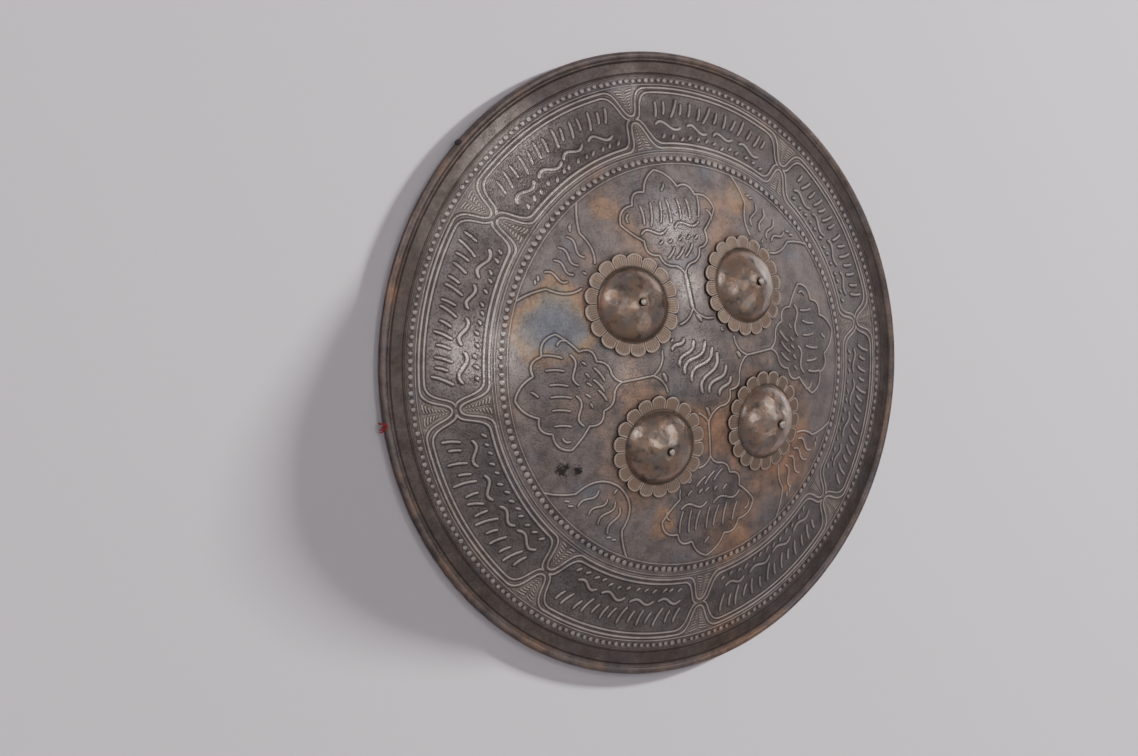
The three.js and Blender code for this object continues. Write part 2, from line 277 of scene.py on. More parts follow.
@dataclass(frozen=True)
class Border:
    """Layout of the border: eight panels whose double frames meet in knots.

    The frame's line beside a spandrel and the one beside a panel both turn from the knot out to
    their level run along a cubic curve, given by its handles as (along, away from the knots' circle).
    """

    panels: int = 8
    knot_radius: float = 176.3
    spandrel_turn: tuple = ((0, 2.5), (7.4, 2.5), (4.4, 22), (16.5, 22))
    panel_turn: tuple = ((2.3, 0), (10.4, 0.4), (7.0, 18.7), (19.5, 18.7))
    turn_steps: int = 26
    run_steps: int = 60
    panel_edge: tuple[float, float] = (-0.5, 1.5)
    spandrel_edge: tuple[float, float] = (-0.5, 1.0)

    @property
    def pitch(self) -> float:
        """Distance between neighbouring knots along their circle."""
        return 2 * math.pi * self.knot_radius / self.panels

    def turn(self, handles: tuple) -> Array:
        """Points of a cubic curve from a knot out to the level run.

        Args:
            handles: four points as (along, away from the knots' circle).

        Returns:
            Points along the curve.
        """
        share = np.linspace(0, 1, self.turn_steps)[:, None]
        start, leave, arrive, end = np.array(handles, float)
        flat = (1 - share) ** 3 * start + 3 * share * (1 - share) ** 2 * leave
        return flat + 3 * share**2 * (1 - share) * arrive + share**3 * end

    def to_plan(self, along: Array, away: Array, knot: float) -> Array:
        """Plan points at distances along the border, clockwise from a knot, and away from its circle.

        Args:
            along: distances along the knots' circle.
            away: distances outwards from it.
            knot: number of the knot to start at.

        Returns:
            Points as (..., xy).
        """
        angle = 2 * math.pi * knot / self.panels - along / self.knot_radius
        return (self.knot_radius + away)[..., None] * way(angle)

    def bay(self, handles: tuple) -> Array:
        """A line from one knot to the next: out along the turn, level, and back in.

        Args:
            handles: the turn's handles.

        Returns:
            Points as (along, away from the knots' circle).
        """
        turn = self.turn(handles)
        run = np.linspace(turn[-1, 0], self.pitch - turn[-1, 0], self.run_steps)[1:-1]
        level = np.stack([run, np.full_like(run, turn[-1, 1])], axis=-1)
        return np.concatenate([turn, level, [self.pitch, 0] + turn[::-1] * [-1, 1]])

    def spandrel_line(self, side: int) -> Array:
        """The closed line that runs round the shield beside all spandrels of one side.

        Args:
            side: 1 for the outer spandrels, -1 for the inner ones.

        Returns:
            Plan points of the line.
        """
        bay = self.bay(self.spandrel_turn)
        paths = [self.to_plan(bay[:-1, 0], side * bay[:-1, 1], knot) for knot in range(self.panels)]
        return np.concatenate(paths[::-1])[::-1]

    def panel_line(self, knot: int) -> Array:
        """The closed line round one panel.

        Args:
            knot: number of the knot that the panel starts at.

        Returns:
            Plan points of the line.
        """
        top = self.bay(self.panel_turn)
        loop = np.concatenate([top, top[-2:0:-1] * [1, -1]])
        return self.to_plan(loop[:, 0], loop[:, 1], knot)

    def zones(self, plan: Array) -> tuple[Array, Array]:
        """How far plan points lie in a panel and in a spandrel, from 0 to 1.

        Args:
            plan: points as (..., xy).

        Returns:
            The shares of panel and of spandrel at each point.
        """
        angle = np.arctan2(plan[..., 1], plan[..., 0])
        away = np.abs(np.hypot(plan[..., 0], plan[..., 1]) - self.knot_radius)
        along = np.abs((angle / (2 * math.pi) * self.panels + 0.5) % 1 - 0.5) * self.pitch
        inner, outer = self.turn(self.panel_turn), self.turn(self.spandrel_turn)
        panel = ease(np.interp(along, inner[:, 0], inner[:, 1]) - away, *self.panel_edge)
        spandrel = ease(away - np.interp(along, outer[:, 0], outer[:, 1]), *self.spandrel_edge)
        return panel, spandrel * (away < outer[-1, 1] - self.spandrel_edge[0])


@dataclass(frozen=True)
class Bloom:
    """A soft round area of a painted mark, such as patina, wear, painted highlight and painted shadow: plan
    place, reach and strength.
    """

    x: float
    y: float
    reach: float
    strength: float = 1.0

    EDGE = (1.05, 0.9)

    def cover(self, plan: Array) -> Array:
        """Strength times a bell of the distance over the reach."""
        return self.strength * bell(np.hypot(plan[..., 0] - self.x, plan[..., 1] - self.y) / self.reach)

    def plateau(self, plan: Array) -> Array:
        """Strength over the inner nine tenths of the reach, falling off at its edge."""
        away = np.hypot(plan[..., 0] - self.x, plan[..., 1] - self.y)
        return self.strength * ease(away, *(share * self.reach for share in self.EDGE))


@dataclass(frozen=True)
class Patina:
    """Broad areas of brown bloom, heat colours, soot, and wear with painted highlights on the dish."""

    border: Border
    warm: tuple[Bloom, ...] = (
        Bloom(-48, 52, 58, 0.6), Bloom(52, 50, 66, 0.9), Bloom(-42, -51, 66, 1.0), Bloom(52, -52, 72, 1.0),
        Bloom(82, -86, 46, 1.0), Bloom(-88, 60, 40, 0.4), Bloom(-34, 104, 34, 0.4), Bloom(18, -122, 46, 0.8),
        Bloom(44, 108, 30, 0.6), Bloom(-170, -100, 34, 0.5), Bloom(-196, 92, 36, 0.6),
        Bloom(40, -208, 60, 0.5),
        Bloom(118, 150, 40, 0.4), Bloom(-100, -8, 34, 0.4), Bloom(0, -40, 40, 0.7), Bloom(-62, 2, 34, 0.6),
        Bloom(-70, 96, 30, 0.3),
    )
    temper: tuple[Bloom, ...] = (
        Bloom(-106, 46, 44, 0.95), Bloom(-96, 74, 24, 0.3), Bloom(66, 108, 24, 0.42),
        Bloom(-50, 118, 24, 0.3),
        Bloom(-40, -108, 26, 0.5), Bloom(30, -128, 20, 0.25),
    )
    soot: tuple[Bloom, ...] = (
        Bloom(-114, -53, 9, 0.9), Bloom(-102, -55, 8, 0.8), Bloom(-108, -54, 20, 0.3),
        Bloom(-196, 40, 26, 0.3), Bloom(-120, -180, 30, 0.4), Bloom(-140, 120, 30, 0.3),
    )
    # Wear and painted highlight: polished places, lightened in colour where the lamps' highlights fall on the
    # dome.
    worn: tuple[Bloom, ...] = (
        Bloom(2, 100, 36, 1.1), Bloom(0, 56, 24, 1.1), Bloom(-152, 34, 40, 1.0), Bloom(-96, 160, 58, 1.3),
        Bloom(-4, 8, 36, 0.9), Bloom(8, 198, 24, 0.6), Bloom(-168, 40, 36, 0.6), Bloom(-132, 118, 70, 0.5),
        Bloom(-62, 4, 26, 0.5), Bloom(40, 150, 60, 0.3),
    )
    rim_warm: float = 0.32
    rim_from: float = 216.0
    rim_to: float = 219.0
    rim_dullness: float = 0.55
    inlays: tuple[Bloom, ...] = (
        Bloom(0, 104, 31, 0.7), Bloom(-104, 0, 31, 0.7), Bloom(0, -104, 31, 0.7), Bloom(104, 0, 31, 0.7),
        Bloom(0, 0, 29, 0.5),
    )
    band_from: tuple[float, float] = (204.5, 208.0)
    band_to: tuple[float, float] = (218.5, 220.0)

    def marks(self, plan: Array) -> Marks:
        """Values of every broad mark at plan points, each the sum of its blooms.

        Args:
            plan: points as (..., xy).

        Returns:
            The values of each mark, by its name.
        """
        panel, spandrel = self.border.zones(plan)
        radius = np.hypot(plan[..., 0], plan[..., 1])
        inlay = sum(bloom.plateau(plan) for bloom in self.inlays)
        dull = ease(radius, *self.band_from) * (1 - (1 - self.rim_dullness) * ease(radius, *self.band_to))
        marks = {"panel": panel + inlay, "spandrel": spandrel, "dull": dull}
        for label in ("warm", "temper", "soot", "worn"):
            marks[label] = sum(bloom.cover(plan) for bloom in getattr(self, label))
        marks["warm"] = marks["warm"] + self.rim_warm * ease(radius, self.rim_from, self.rim_to)
        return marks


@dataclass(frozen=True)
class Chase:
    """Section of a chased line: half the width of its crest, its rise and the groove beside it, a strip
    darkened with patina and painted shade.
    """

    half_width: float
    rise: float
    groove: float = 1.1
    step: float = 1.1
    crest_points: int = 7
    flat_top: float = 0.7

    SKIM = 0.035
    FOOT = (0.5, -0.25)
    UNDER = -0.7
    LEAST_WIDTH = 0.02

    def section(self) -> tuple[Array, Array, Array, Array]:
        """Across, rise, crest and groove values, from the right to the left and back below.

        The crest is a bell, its feet are the darkest of the groove, patina and painted shade, which
        fades out over an apron that skims the ground and dips under it at its edge.

        Returns:
            Four rows of values, one value for each point of the section.
        """
        share = np.linspace(-1, 1, self.crest_points)
        edge = self.half_width + self.groove
        outer = edge + self.FOOT[0]
        half = self.half_width
        across = [-outer, -edge, *(share * half), edge, outer, half, -half]
        hump = bell(share) ** self.flat_top
        low = self.FOOT[1]
        rise = [low, self.SKIM, *(self.SKIM + self.rise * hump), self.SKIM, low, self.UNDER, self.UNDER]
        crest = [0, 0, *hump, 0, 0, 0, 0]
        groove = [0, 0, *(1 - hump), 0, 0, 0, 0]
        return np.array(across), np.array(rise), np.array(crest), np.array(groove)


def even(path: Array, step: float, closed: bool) -> Array:
    """Points at even distances along a plan path, about a step apart.

    Args:
        path: plan points.
        step: the distance to come near to.
        closed: whether the path meets its start.

    Returns:
        The new points, without a second start on a closed path.
    """
    loop = np.concatenate([path, path[:1]]) if closed else path
    gaps = np.linalg.norm(np.diff(loop, axis=0), axis=1)
    loop = loop[np.concatenate([[True], gaps > 1e-6])]
    reach = np.concatenate([[0], np.cumsum(gaps[gaps > 1e-6])])
    count = max(4, round(reach[-1] / step))
    spots = np.linspace(0, reach[-1], count + 1)[: count if closed else None]
    return np.stack([np.interp(spots, reach, loop[:, k]) for k in range(2)], axis=-1)


class Chaser:
    """Works lines into the dish as raised strips that follow its face."""

    def __init__(self, shell: Shell, patina: Patina) -> None:
        """Keeps the form that lines follow and the patina that they share with the ground."""
        self.shell = shell
        self.patina = patina

    def line(self, path: Array, chase: Chase, closed: bool = False, point: float = 1.0) -> Surface:
        """One line along a plan path.

        A section point lies at its distance to the left of the path times the width there, raised by
        its rise times that width. At an open end the width shrinks as the edge of an ellipse does.

        Args:
            path: plan points.
            chase: the line's section.
            closed: whether the path meets its start.
            point: length of an open end's taper over half the line's width.

        Returns:
            The closed strip with its marks.
        """
        spots = even(path, chase.step, closed)
        ahead = np.roll(spots, -1, 0) - np.roll(spots, 1, 0)
        width = np.ones(len(spots))
        if not closed:
            ahead = np.gradient(spots, axis=0)
            reach = np.linspace(0, 1, len(spots)) * np.linalg.norm(np.diff(spots, axis=0), axis=1).sum()
            near = np.minimum(reach, reach[-1] - reach) / (point * chase.half_width)
            width = np.sqrt(1 - (1 - np.clip(near, chase.LEAST_WIDTH, 1)) ** 2)
        ahead /= np.linalg.norm(ahead, axis=1, keepdims=True)
        left = np.stack([-ahead[:, 1], ahead[:, 0]], axis=-1)
        across, rise, crest, groove = chase.section()
        plan = spots[:, None] + left[:, None] * (across * width[:, None])[..., None]
        high = np.where(rise > chase.SKIM, chase.SKIM + (rise - chase.SKIM) * width[:, None], rise)
        marks = self.patina.marks(plan)
        marks["crest"] = crest * width[:, None]
        # Groove: patina and painted shade beside the crest.
        marks["groove"] = np.broadcast_to(groove, marks["crest"].shape)
        return Surface.loft(self.shell.lift(plan, high), marks, looped=closed)


@dataclass(frozen=True)
class RingLine:
    """A line round the dish: its radius, half width, rise (below 0 for a groove) and brightness."""

    radius: float
    half_width: float
    rise: float
    bright: float = 1.0


@dataclass(frozen=True)
class Dish:
    """The dished sheet: outer face with its turned lines, rolled rim and plain inner face."""

    shell: Shell
    patina: Patina
    # Painted shadows under and round the bosses' flanges.
    seat_shades: tuple[Bloom, ...]
    columns: int = 432
    field_step: float = 3.0
    line_points: int = 9
    line_reach: float = 1.2
    groove_reach: float = 2.2
    least_step: float = 0.15
    crown_ring: float = 0.8
    brim_lip: float = 0.9
    bead_points: int = 15
    bead_bend: tuple[float, float] = (145.0, -45.0)
    inside_rows: int = 40
    inside_warm: float = 0.4
    lines: tuple[RingLine, ...] = (
        RingLine(142.9, 0.9, 0.5, 0.7), RingLine(150.9, 0.8, 0.45, 0.7), RingLine(152.8, 0.8, 0.4, 0.6),
        RingLine(200.6, 0.8, 0.5, 0.7), RingLine(207.4, 0.7, 0.35, 0.5), RingLine(209.2, 0.6, -0.3),
        RingLine(217.9, 0.9, -0.5),
    )
    channels: tuple[RingLine, ...] = (RingLine(146.6, 2.9, -0.25), RingLine(203.9, 2.7, -0.25))

    def stations(self) -> Array:
        """Radii of the rows on the outer face: even steps, and closer ones across each line.

        Returns:
            Radii from the crown outwards.
        """
        even_rows = np.arange(self.field_step, self.shell.brim_end, self.field_step)
        share = np.linspace(-self.line_reach, self.line_reach, self.line_points)
        worked = [line.radius + line.half_width * share for line in self.lines + self.channels]
        every = np.concatenate([[self.crown_ring], even_rows, *worked, [self.shell.brim_end + self.brim_lip]])
        every = np.unique(every.round(2))
        return every[np.concatenate([[True], np.diff(every) > self.least_step])]

    def outer_rows(self) -> tuple[Array, Array, Array, Array]:
        """Radius, rise, crest and groove of the rows: the sum of the lines' bells at each radius.

        Returns:
            Four rows of values, one value for each radius.
        """
        radius = self.stations()
        rise, crest, groove = np.zeros((3, len(radius)))
        for line in self.lines + self.channels:
            hump = bell((radius - line.radius) / line.half_width)
            rise += line.rise * hump
            if line.rise > 0:
                crest = np.maximum(crest, line.bright * hump)
                # The groove mark darkens the ground beside raised lines and in sunk ones: patina and painted
                # shade.
                wider = bell((radius - line.radius) / (self.groove_reach * line.half_width))
                groove = np.maximum(groove, wider - hump)
            else:
                groove = np.maximum(groove, hump)
        return radius, rise, crest, groove

    def build(self) -> Surface:
        """Lofts rings from the crown over the rim and back up inside.

        Outer rings stand on the shell raised by the lines, the rolled rim is a circle about the
        bead's middle down to the level rest, and inner rings lie one sheet below the outer face.

        Returns:
            The closed dish with its marks.
        """
        shell = self.shell
        spoke = way(circle(self.columns))
        radius, rise, crest, groove = self.outer_rows()
        outer = shell.lift(radius[:, None, None] * spoke, rise[:, None])
        middle = shell.rim_radius - shell.bead
        bend = np.radians(np.linspace(*self.bead_bend, self.bead_points))
        bead_radius = np.concatenate([
            middle + shell.bead * np.cos(bend),
            [middle + shell.rest_width / 2, middle - shell.rest_width / 2],
        ])
        bead_height = np.concatenate([shell.bead * (1 + np.sin(bend)), [0, 0]])
        bead = np.concatenate([
            bead_radius[:, None, None] * spoke,
            np.broadcast_to(bead_height[:, None, None], (len(bead_radius), self.columns, 1)),
        ], axis=-1)
        inner_radius = np.linspace(shell.brim_end, self.crown_ring, self.inside_rows)
        inner = shell.lift(inner_radius[:, None, None] * spoke, -shell.sheet)
        rings = np.concatenate([outer, bead, inner])
        rows = len(bead) + len(inner)
        marks = self.patina.marks(rings[..., :2])
        face = np.concatenate([np.ones(len(outer)), np.zeros(rows)])[:, None]
        for label in ("panel", "spandrel", "temper", "soot", "worn"):
            marks[label] = marks[label] * face
        inside = np.arange(len(rings))[:, None] >= len(rings) - len(inner)
        marks["warm"] = np.where(inside, self.inside_warm * marks["warm"], marks["warm"])
        wide = np.ones(self.columns)
        marks["crest"] = np.concatenate([crest, np.zeros(rows)])[:, None] * wide
        marks["groove"] = np.concatenate([groove, np.zeros(rows)])[:, None] * wide
        # Painted shadow on the ground under and just round each boss's flange.
        marks["groove"] = np.maximum(marks["groove"], face * sum(seat.plateau(rings) for seat in self.seat_shades))
        return Surface.loft(rings, marks)


@dataclass(frozen=True)
class PearlRow:
    """A row of punched pearls round the dish."""

    radius: float
    count: int
    size: float
    rise: float
    bright: float
    seed: int
    sides: int = 10
    rings: tuple[float, ...] = (0.4, 0.72, 0.9, 1.0)
    roundness: float = 0.45
    foot: float = -0.5
    turn_scatter: float = 0.05
    reach_scatter: float = 0.18
    size_range: tuple[float, float] = (0.86, 1.1)
    rise_range: tuple[float, float] = (0.7, 1.15)
    crest_power: float = 0.4

    def build(self, shell: Shell, patina: Patina) -> Surface:
        """Lofts every pearl as a low dome of rings about its place; sizes and places vary a little.

        A ring at a share s of the pearl's size stands at the rise times 1 - s squared, to the power
        of the pearl's roundness.

        Args:
            shell: the form that pearls stand on.
            patina: the patina that they share with the ground.

        Returns:
            All pearls of the row.
        """
        draw = np.random.default_rng(self.seed)
        order = np.arange(self.count) + draw.normal(0, self.turn_scatter, self.count)
        angle = order * 2 * math.pi / self.count
        reach = self.radius + draw.normal(0, self.reach_scatter, self.count)
        middle = reach[:, None] * way(angle)
        size = self.size * draw.uniform(*self.size_range, self.count)
        high = self.rise * draw.uniform(*self.rise_range, self.count)
        share = np.array([*self.rings, self.rings[-1]])
        level = np.array([*(1 - share[:-1] ** 2) ** self.roundness, self.foot])
        spoke = way(circle(self.sides))
        parts = []
        for spot, width, rise in zip(middle, size, high):
            plan = spot + (share * width)[:, None, None] * spoke
            marks = patina.marks(plan)
            wide = np.ones(self.sides)
            top = np.clip(level, 0, 1)[:, None] ** self.crest_power * wide
            marks["crest"] = self.bright * top
            # Darker towards each pearl's foot: patina and painted shade.
            marks["groove"] = 1 - top
            parts.append(Surface.loft(shell.lift(plan, (level * rise)[:, None] * wide), marks))
        return Surface.joined(parts)


class Figure(Enum):
    """Plain strokes that fill the panels. None of them is a letter."""

    LEAN = "leaning bar"
    SWEEP = "long double bend"
    ARC = "crescent"
    DAB = "short thick touch"


@dataclass(frozen=True)
class Stroke:
    """One stroke in a panel: its figure, place, size in millimetres and turn in degrees."""

    figure: Figure
    across: float
    up: float
    size: float
    turn: float = 0.0
    points: int = 49
    shake: float = 0.6
    stretch: tuple[float, float] = (0.88, 1.1)
    sway: float = 5.0

    def path(self) -> Array:
        """The figure's curve as a formula of its share from 0 to 1, turned and put in place.

        Returns:
            Points as (across, up).
        """
        share = np.linspace(0, 1, self.points)
        round_turn = 2 * math.pi * share
        match self.figure:
            case Figure.LEAN:
                shape = np.stack([0.06 * np.sin(math.pi * share), share - 0.5], axis=-1)
            case Figure.SWEEP:
                shape = np.stack([share - 0.5, 0.12 * np.sin(round_turn) * (1.15 - 0.4 * share)], axis=-1)
            case Figure.ARC:
                bend = 2.4 * (share - 0.5)
                shape = np.stack([np.sin(bend), np.cos(bend) - math.cos(1.2)], axis=-1) / (2 * math.sin(1.2))
            case Figure.DAB:
                shape = np.stack([0.2 * np.sin(2 * share), share - 0.5], axis=-1)
        return spun(self.size * shape, self.turn) + [self.across, self.up]

    def varied(self, draw: np.random.Generator) -> "Stroke":
        """The stroke moved, turned and sized a little, as work by hand is.

        Args:
            draw: the seeded source of chance.

        Returns:
            The new stroke.
        """
        return Stroke(
            self.figure,
            self.across + draw.normal(0, self.shake),
            self.up + draw.normal(0, self.shake),
            self.size * draw.uniform(*self.stretch),
            self.turn + draw.normal(0, self.sway),
        )


@dataclass(frozen=True)
class StrokeRows:
    """Rows of plain strokes, each row a repeat of one figure at an even pitch."""

    bars: int = 14
    bar_pitch: float = 7.6
    bar_sizes: tuple[float, ...] = (16.0, 11.0, 13.5, 11.0)
    bar_lean: float = -18.0
    bar_height: float = 6.8

    def row(self, figure: Figure, places: Array, up: float, size: float, turn: float) -> list[Stroke]:
        """One figure again and again along a row."""
        return [Stroke(figure, place, up, size, turn) for place in places]

    def panel(self, shift: int) -> list[Stroke]:
        """Three rows for a panel: leaning bars, long bends below them, then dabs.

        Args:
            shift: how many bars the upper row starts on.

        Returns:
            The strokes about the panel's middle.
        """
        places = (np.arange(self.bars) - (self.bars - 1) / 2) * self.bar_pitch
        sizes = [self.bar_sizes[(bar + shift) % len(self.bar_sizes)] for bar in range(self.bars)]
        bars = zip(places, sizes)
        tall = [Stroke(Figure.LEAN, at, self.bar_height, size, self.bar_lean) for at, size in bars]
        starts = np.linspace(-38, 38, 4) + 2 * (shift % 3 - 1)
        bends = self.row(Figure.SWEEP, starts, up=-6.2, size=22, turn=4)
        return tall + bends + self.row(Figure.DAB, np.linspace(-48, 48, 13), up=-13.2, size=5.5, turn=-38)

    def palmette(self, shift: int) -> list[Stroke]:
        """Four rows for a palmette, all leaning the same way.

        Args:
            shift: 0 or 1 for the two kinds of upper row.

        Returns:
            The strokes about an axis along +Y.
        """
        bars = np.linspace(-22, 25, 7 - shift)
        tall = self.row(Figure.LEAN, bars, up=110, size=17 - 2 * shift, turn=-10)
        bends = self.row(Figure.SWEEP, np.array([-14.0, 14.0]), up=98 - shift, size=24, turn=9)
        dabs = self.row(Figure.DAB, np.linspace(-13, 17, 5), up=90, size=5.5, turn=-40)
        low = self.row(Figure.LEAN, np.array([-7.0, 0.5, 8.0]), up=81, size=13, turn=-50)
        ends = [Stroke(Figure.ARC, 33, 102, 8, -70), Stroke(Figure.ARC, -32, 108, 8, 60)]
        return tall + bends + dabs + low + ends + [Stroke(Figure.DAB, 1, 127, 7, -30)]

    def half_palmette(self) -> list[Stroke]:
        """A fan of strokes for a half palmette about an axis along +Y.

        Returns:
            The strokes.
        """
        fan = [Stroke(Figure.SWEEP, 0.75 * lean, 123, 19, 90 - lean) for lean in (-18, -6, 6, 18)]
        dabs = self.row(Figure.DAB, np.array([-25.0, -21.0, 20.0, 24.0]), up=133.5, size=5, turn=-45)
        return fan + dabs + [Stroke(Figure.DAB, 0.5, 107.5, 6, 15)]

    def lozenge(self) -> list[Stroke]:
        """Bold slanting strokes for the lozenge in the middle.

        Returns:
            The strokes about the middle of the shield.
        """
        bends = [
            Stroke(Figure.SWEEP, place, -place, size, 48)
            for place, size in ((-18, 16), (-12, 25), (-6, 31), (0, 33), (6, 32), (12, 26), (18, 17))
        ]
        return bends + [Stroke(Figure.DAB, x, y, 8, 30) for x, y in ((2, 33), (33, 2), (-2, -33), (-33, -2))]


def outline(stretches: Sequence[tuple[float, float, float]], steps: int = 14) -> Array:
    """Plan points of an outline: each stretch ends at (across, out) with a bulge to its left.

    A stretch is a quadratic curve whose handle stands off its middle by twice the bulge times the
    chord.

    Args:
        stretches: the start and then the stretches, as (across, out, bulge).
        steps: points in a stretch.

    Returns:
        Plan points about an axis along +Y.
    """
    share = np.linspace(0, 1, steps)[1:, None]
    path = [np.array([stretches[0][:2]], float)]
    for across, out, bulge in stretches[1:]:
        start, end = path[-1][-1], np.array([across, out], float)
        handle = (start + end) / 2 + 2 * bulge * np.array([start[1] - end[1], end[0] - start[0]])
        path.append((1 - share) ** 2 * start + 2 * share * (1 - share) * handle + share**2 * end)
    return np.concatenate(path)


def turned(path: Array, angle: float) -> Array:
    """Turns a plan path from the +Y axis to an angle in degrees about the middle of the shield."""
    return spun(path, angle - 90)


def mirrored(path: Array) -> Array:
    """Adds the mirror image, about the +Y axis, of a path that ends there."""
    return np.concatenate([path, path[-2::-1] * [-1, 1]])


@dataclass(frozen=True)
class ChasedWork:
    """All chased lines of the dish: frames, strokes, leaves and the ornament of the field."""

    chaser: Chaser
    border: Border
    clear_of: Callable[[Array], Array]
    rows: StrokeRows = StrokeRows()
    frame_line: Chase = Chase(1.2, 0.6, 0.7, 1.2)
    panel_stroke: Chase = Chase(1.55, 0.85, 0.7)
    outline_line: Chase = Chase(1.15, 0.6, 0.8)
    stem_line: Chase = Chase(2.0, 0.7, 1.0)
    field_stroke: Chase = Chase(1.2, 0.65, 0.6)
    bold_stroke: Chase = Chase(1.95, 1.1, 0.8)
    leaf_line: Chase = Chase(0.75, 0.4, 0.4, 1.2, 5)
    stroke_point: float = 1.6
    cut_step: float = 0.8
    least_run: int = 4
    vein_feet: tuple[float, float, float] = (5.5, 21.0, 2.1)
    vein_points: int = 9
    vein_gap: float = 0.5
    vein_curl: float = 2.2
    vein_droop: float = 1.2
    leaf_feet: tuple[float, ...] = (4.0, 12.0, 22.0)
    leaf_reaches: tuple[float, ...] = (0.825, 3.025, 8.25)
    stem: tuple[float, float] = (40.0, 66.0)
    palmette: tuple = (
        (0, 139.5, 0), (14.5, 125.5, 0.12), (27, 117.8, 0.28), (40.5, 106, 0.22), (26, 92.2, 0.04),
        (17.2, 81, 0.3), (7, 71.8, 0.2), (0, 65, -0.12),
    )
    half_palmette: tuple = ((-43, 137.0, 0), (-23.5, 125, 0.05), (0, 103.5, -0.2))
    lozenge: tuple = ((0, 41, 0), (12, 31.5, -0.12), (21.3, 21.3, 0.3))

    def frames(self) -> Surface:
        """Both lines beside the spandrels and the eight lines round the panels.

        Returns:
            The lines as one surface.
        """
        paths = [self.border.spandrel_line(side) for side in (-1, 1)]
        paths += [self.border.panel_line(knot) for knot in range(self.border.panels)]
        return Surface.joined([self.chaser.line(path, self.frame_line, closed=True) for path in paths])

    def panels(self) -> Surface:
        """Rows of strokes in the eight panels, varied by hand.

        Returns:
            The strokes as one surface.
        """
        draw = np.random.default_rng(11)
        parts = []
        for knot in range(self.border.panels):
            for plain in self.rows.panel(3 * knot):
                stroke = plain.varied(draw)
                path = stroke.path() + [self.border.pitch / 2, 0]
                plan = self.border.to_plan(path[:, 0], path[:, 1], knot)
                parts.append(self.chaser.line(plan, self.panel_stroke, point=self.stroke_point))
        return Surface.joined(parts)

    def leaves(self) -> Surface:
        """Curved hatching in the spandrels: rows of short veins that rise from a middle rib.

        Returns:
            The veins as one surface.
        """
        parts = []
        share = np.linspace(0, 1, self.vein_points)
        for knot in range(self.border.panels):
            for side in (-1, 1):
                for foot in np.arange(*self.vein_feet):
                    reach = np.interp(foot, self.leaf_feet, self.leaf_reaches)
                    for hand in (-1, 1):
                        along = hand * (self.vein_gap + reach * share)
                        curl = self.vein_curl * np.sin(math.pi / 2 * share) - self.vein_droop * share
                        plan = self.border.to_plan(along, side * (foot + curl), knot)
                        parts.append(self.chaser.line(plan, self.leaf_line))
        return Surface.joined(parts)

    def kept(self, path: Array, closed: bool) -> list[tuple[Array, bool]]:
        """The stretches of a path that stay clear of the bosses, each with whether it is closed.

        Args:
            path: plan points.
            closed: whether the path meets its start.

        Returns:
            Pairs of a stretch and whether it is closed.
        """
        spots = even(path, self.cut_step, closed)
        free = self.clear_of(spots)
        if free.all():
            return [(path, closed)]
        if closed:
            first = int(np.argmin(free))
            spots, free = np.roll(spots, -first, 0), np.roll(free, -first)
        cuts = np.flatnonzero(np.diff(free.astype(int))) + 1
        runs = zip(np.split(spots, cuts), np.split(free, cuts))
        return [(run, False) for run, open_run in runs if open_run[0] and len(run) > self.least_run]

    def field(self) -> Surface:
        """Lozenge, palmettes, stems and half palmettes, cut clear of the bosses.

        Returns:
            The lines as one surface.
        """
        eighth = outline(self.lozenge)
        quarter = np.concatenate([eighth, eighth[-2::-1, ::-1]])
        lozenge = np.concatenate([turned(quarter[:-1], 90 - angle) for angle in (0, 90, 180, 270)])
        leaf = mirrored(outline(self.palmette))[:-1]
        half = mirrored(outline(self.half_palmette))
        stem = np.stack([np.zeros(2), self.stem], axis=-1)
        lines = [(lozenge, True, self.outline_line)]
        for angle in (0, 90, 180, 270):
            lines.append((turned(leaf, angle), True, self.outline_line))
            lines.append((turned(stem, angle), False, self.stem_line if angle == 90 else self.outline_line))
            lines.append((turned(half, angle + 45), False, self.outline_line))
        parts = []
        for path, closed, chase in lines:
            parts += [self.chaser.line(run, chase, ring) for run, ring in self.kept(path, closed)]
        return Surface.joined(parts)

    def field_strokes(self) -> Surface:
        """Strokes inside the palmettes, the half palmettes and the lozenge.

        Returns:
            The strokes as one surface.
        """
        draw = np.random.default_rng(23)
        sets = [(self.rows.lozenge(), 90, self.bold_stroke)]
        for quarter, angle in enumerate((90, 180, 270, 0)):
            sets.append((self.rows.palmette(quarter % 2), angle, self.field_stroke))
            sets.append((self.rows.half_palmette(), angle + 45, self.field_stroke))
        parts = []
        for strokes, angle, chase in sets:
            for plain in strokes:
                stroke = plain.varied(draw)
                for run, ring in self.kept(turned(stroke.path(), angle), False):
                    parts.append(self.chaser.line(run, chase, ring, self.stroke_point))
        return Surface.joined(parts)


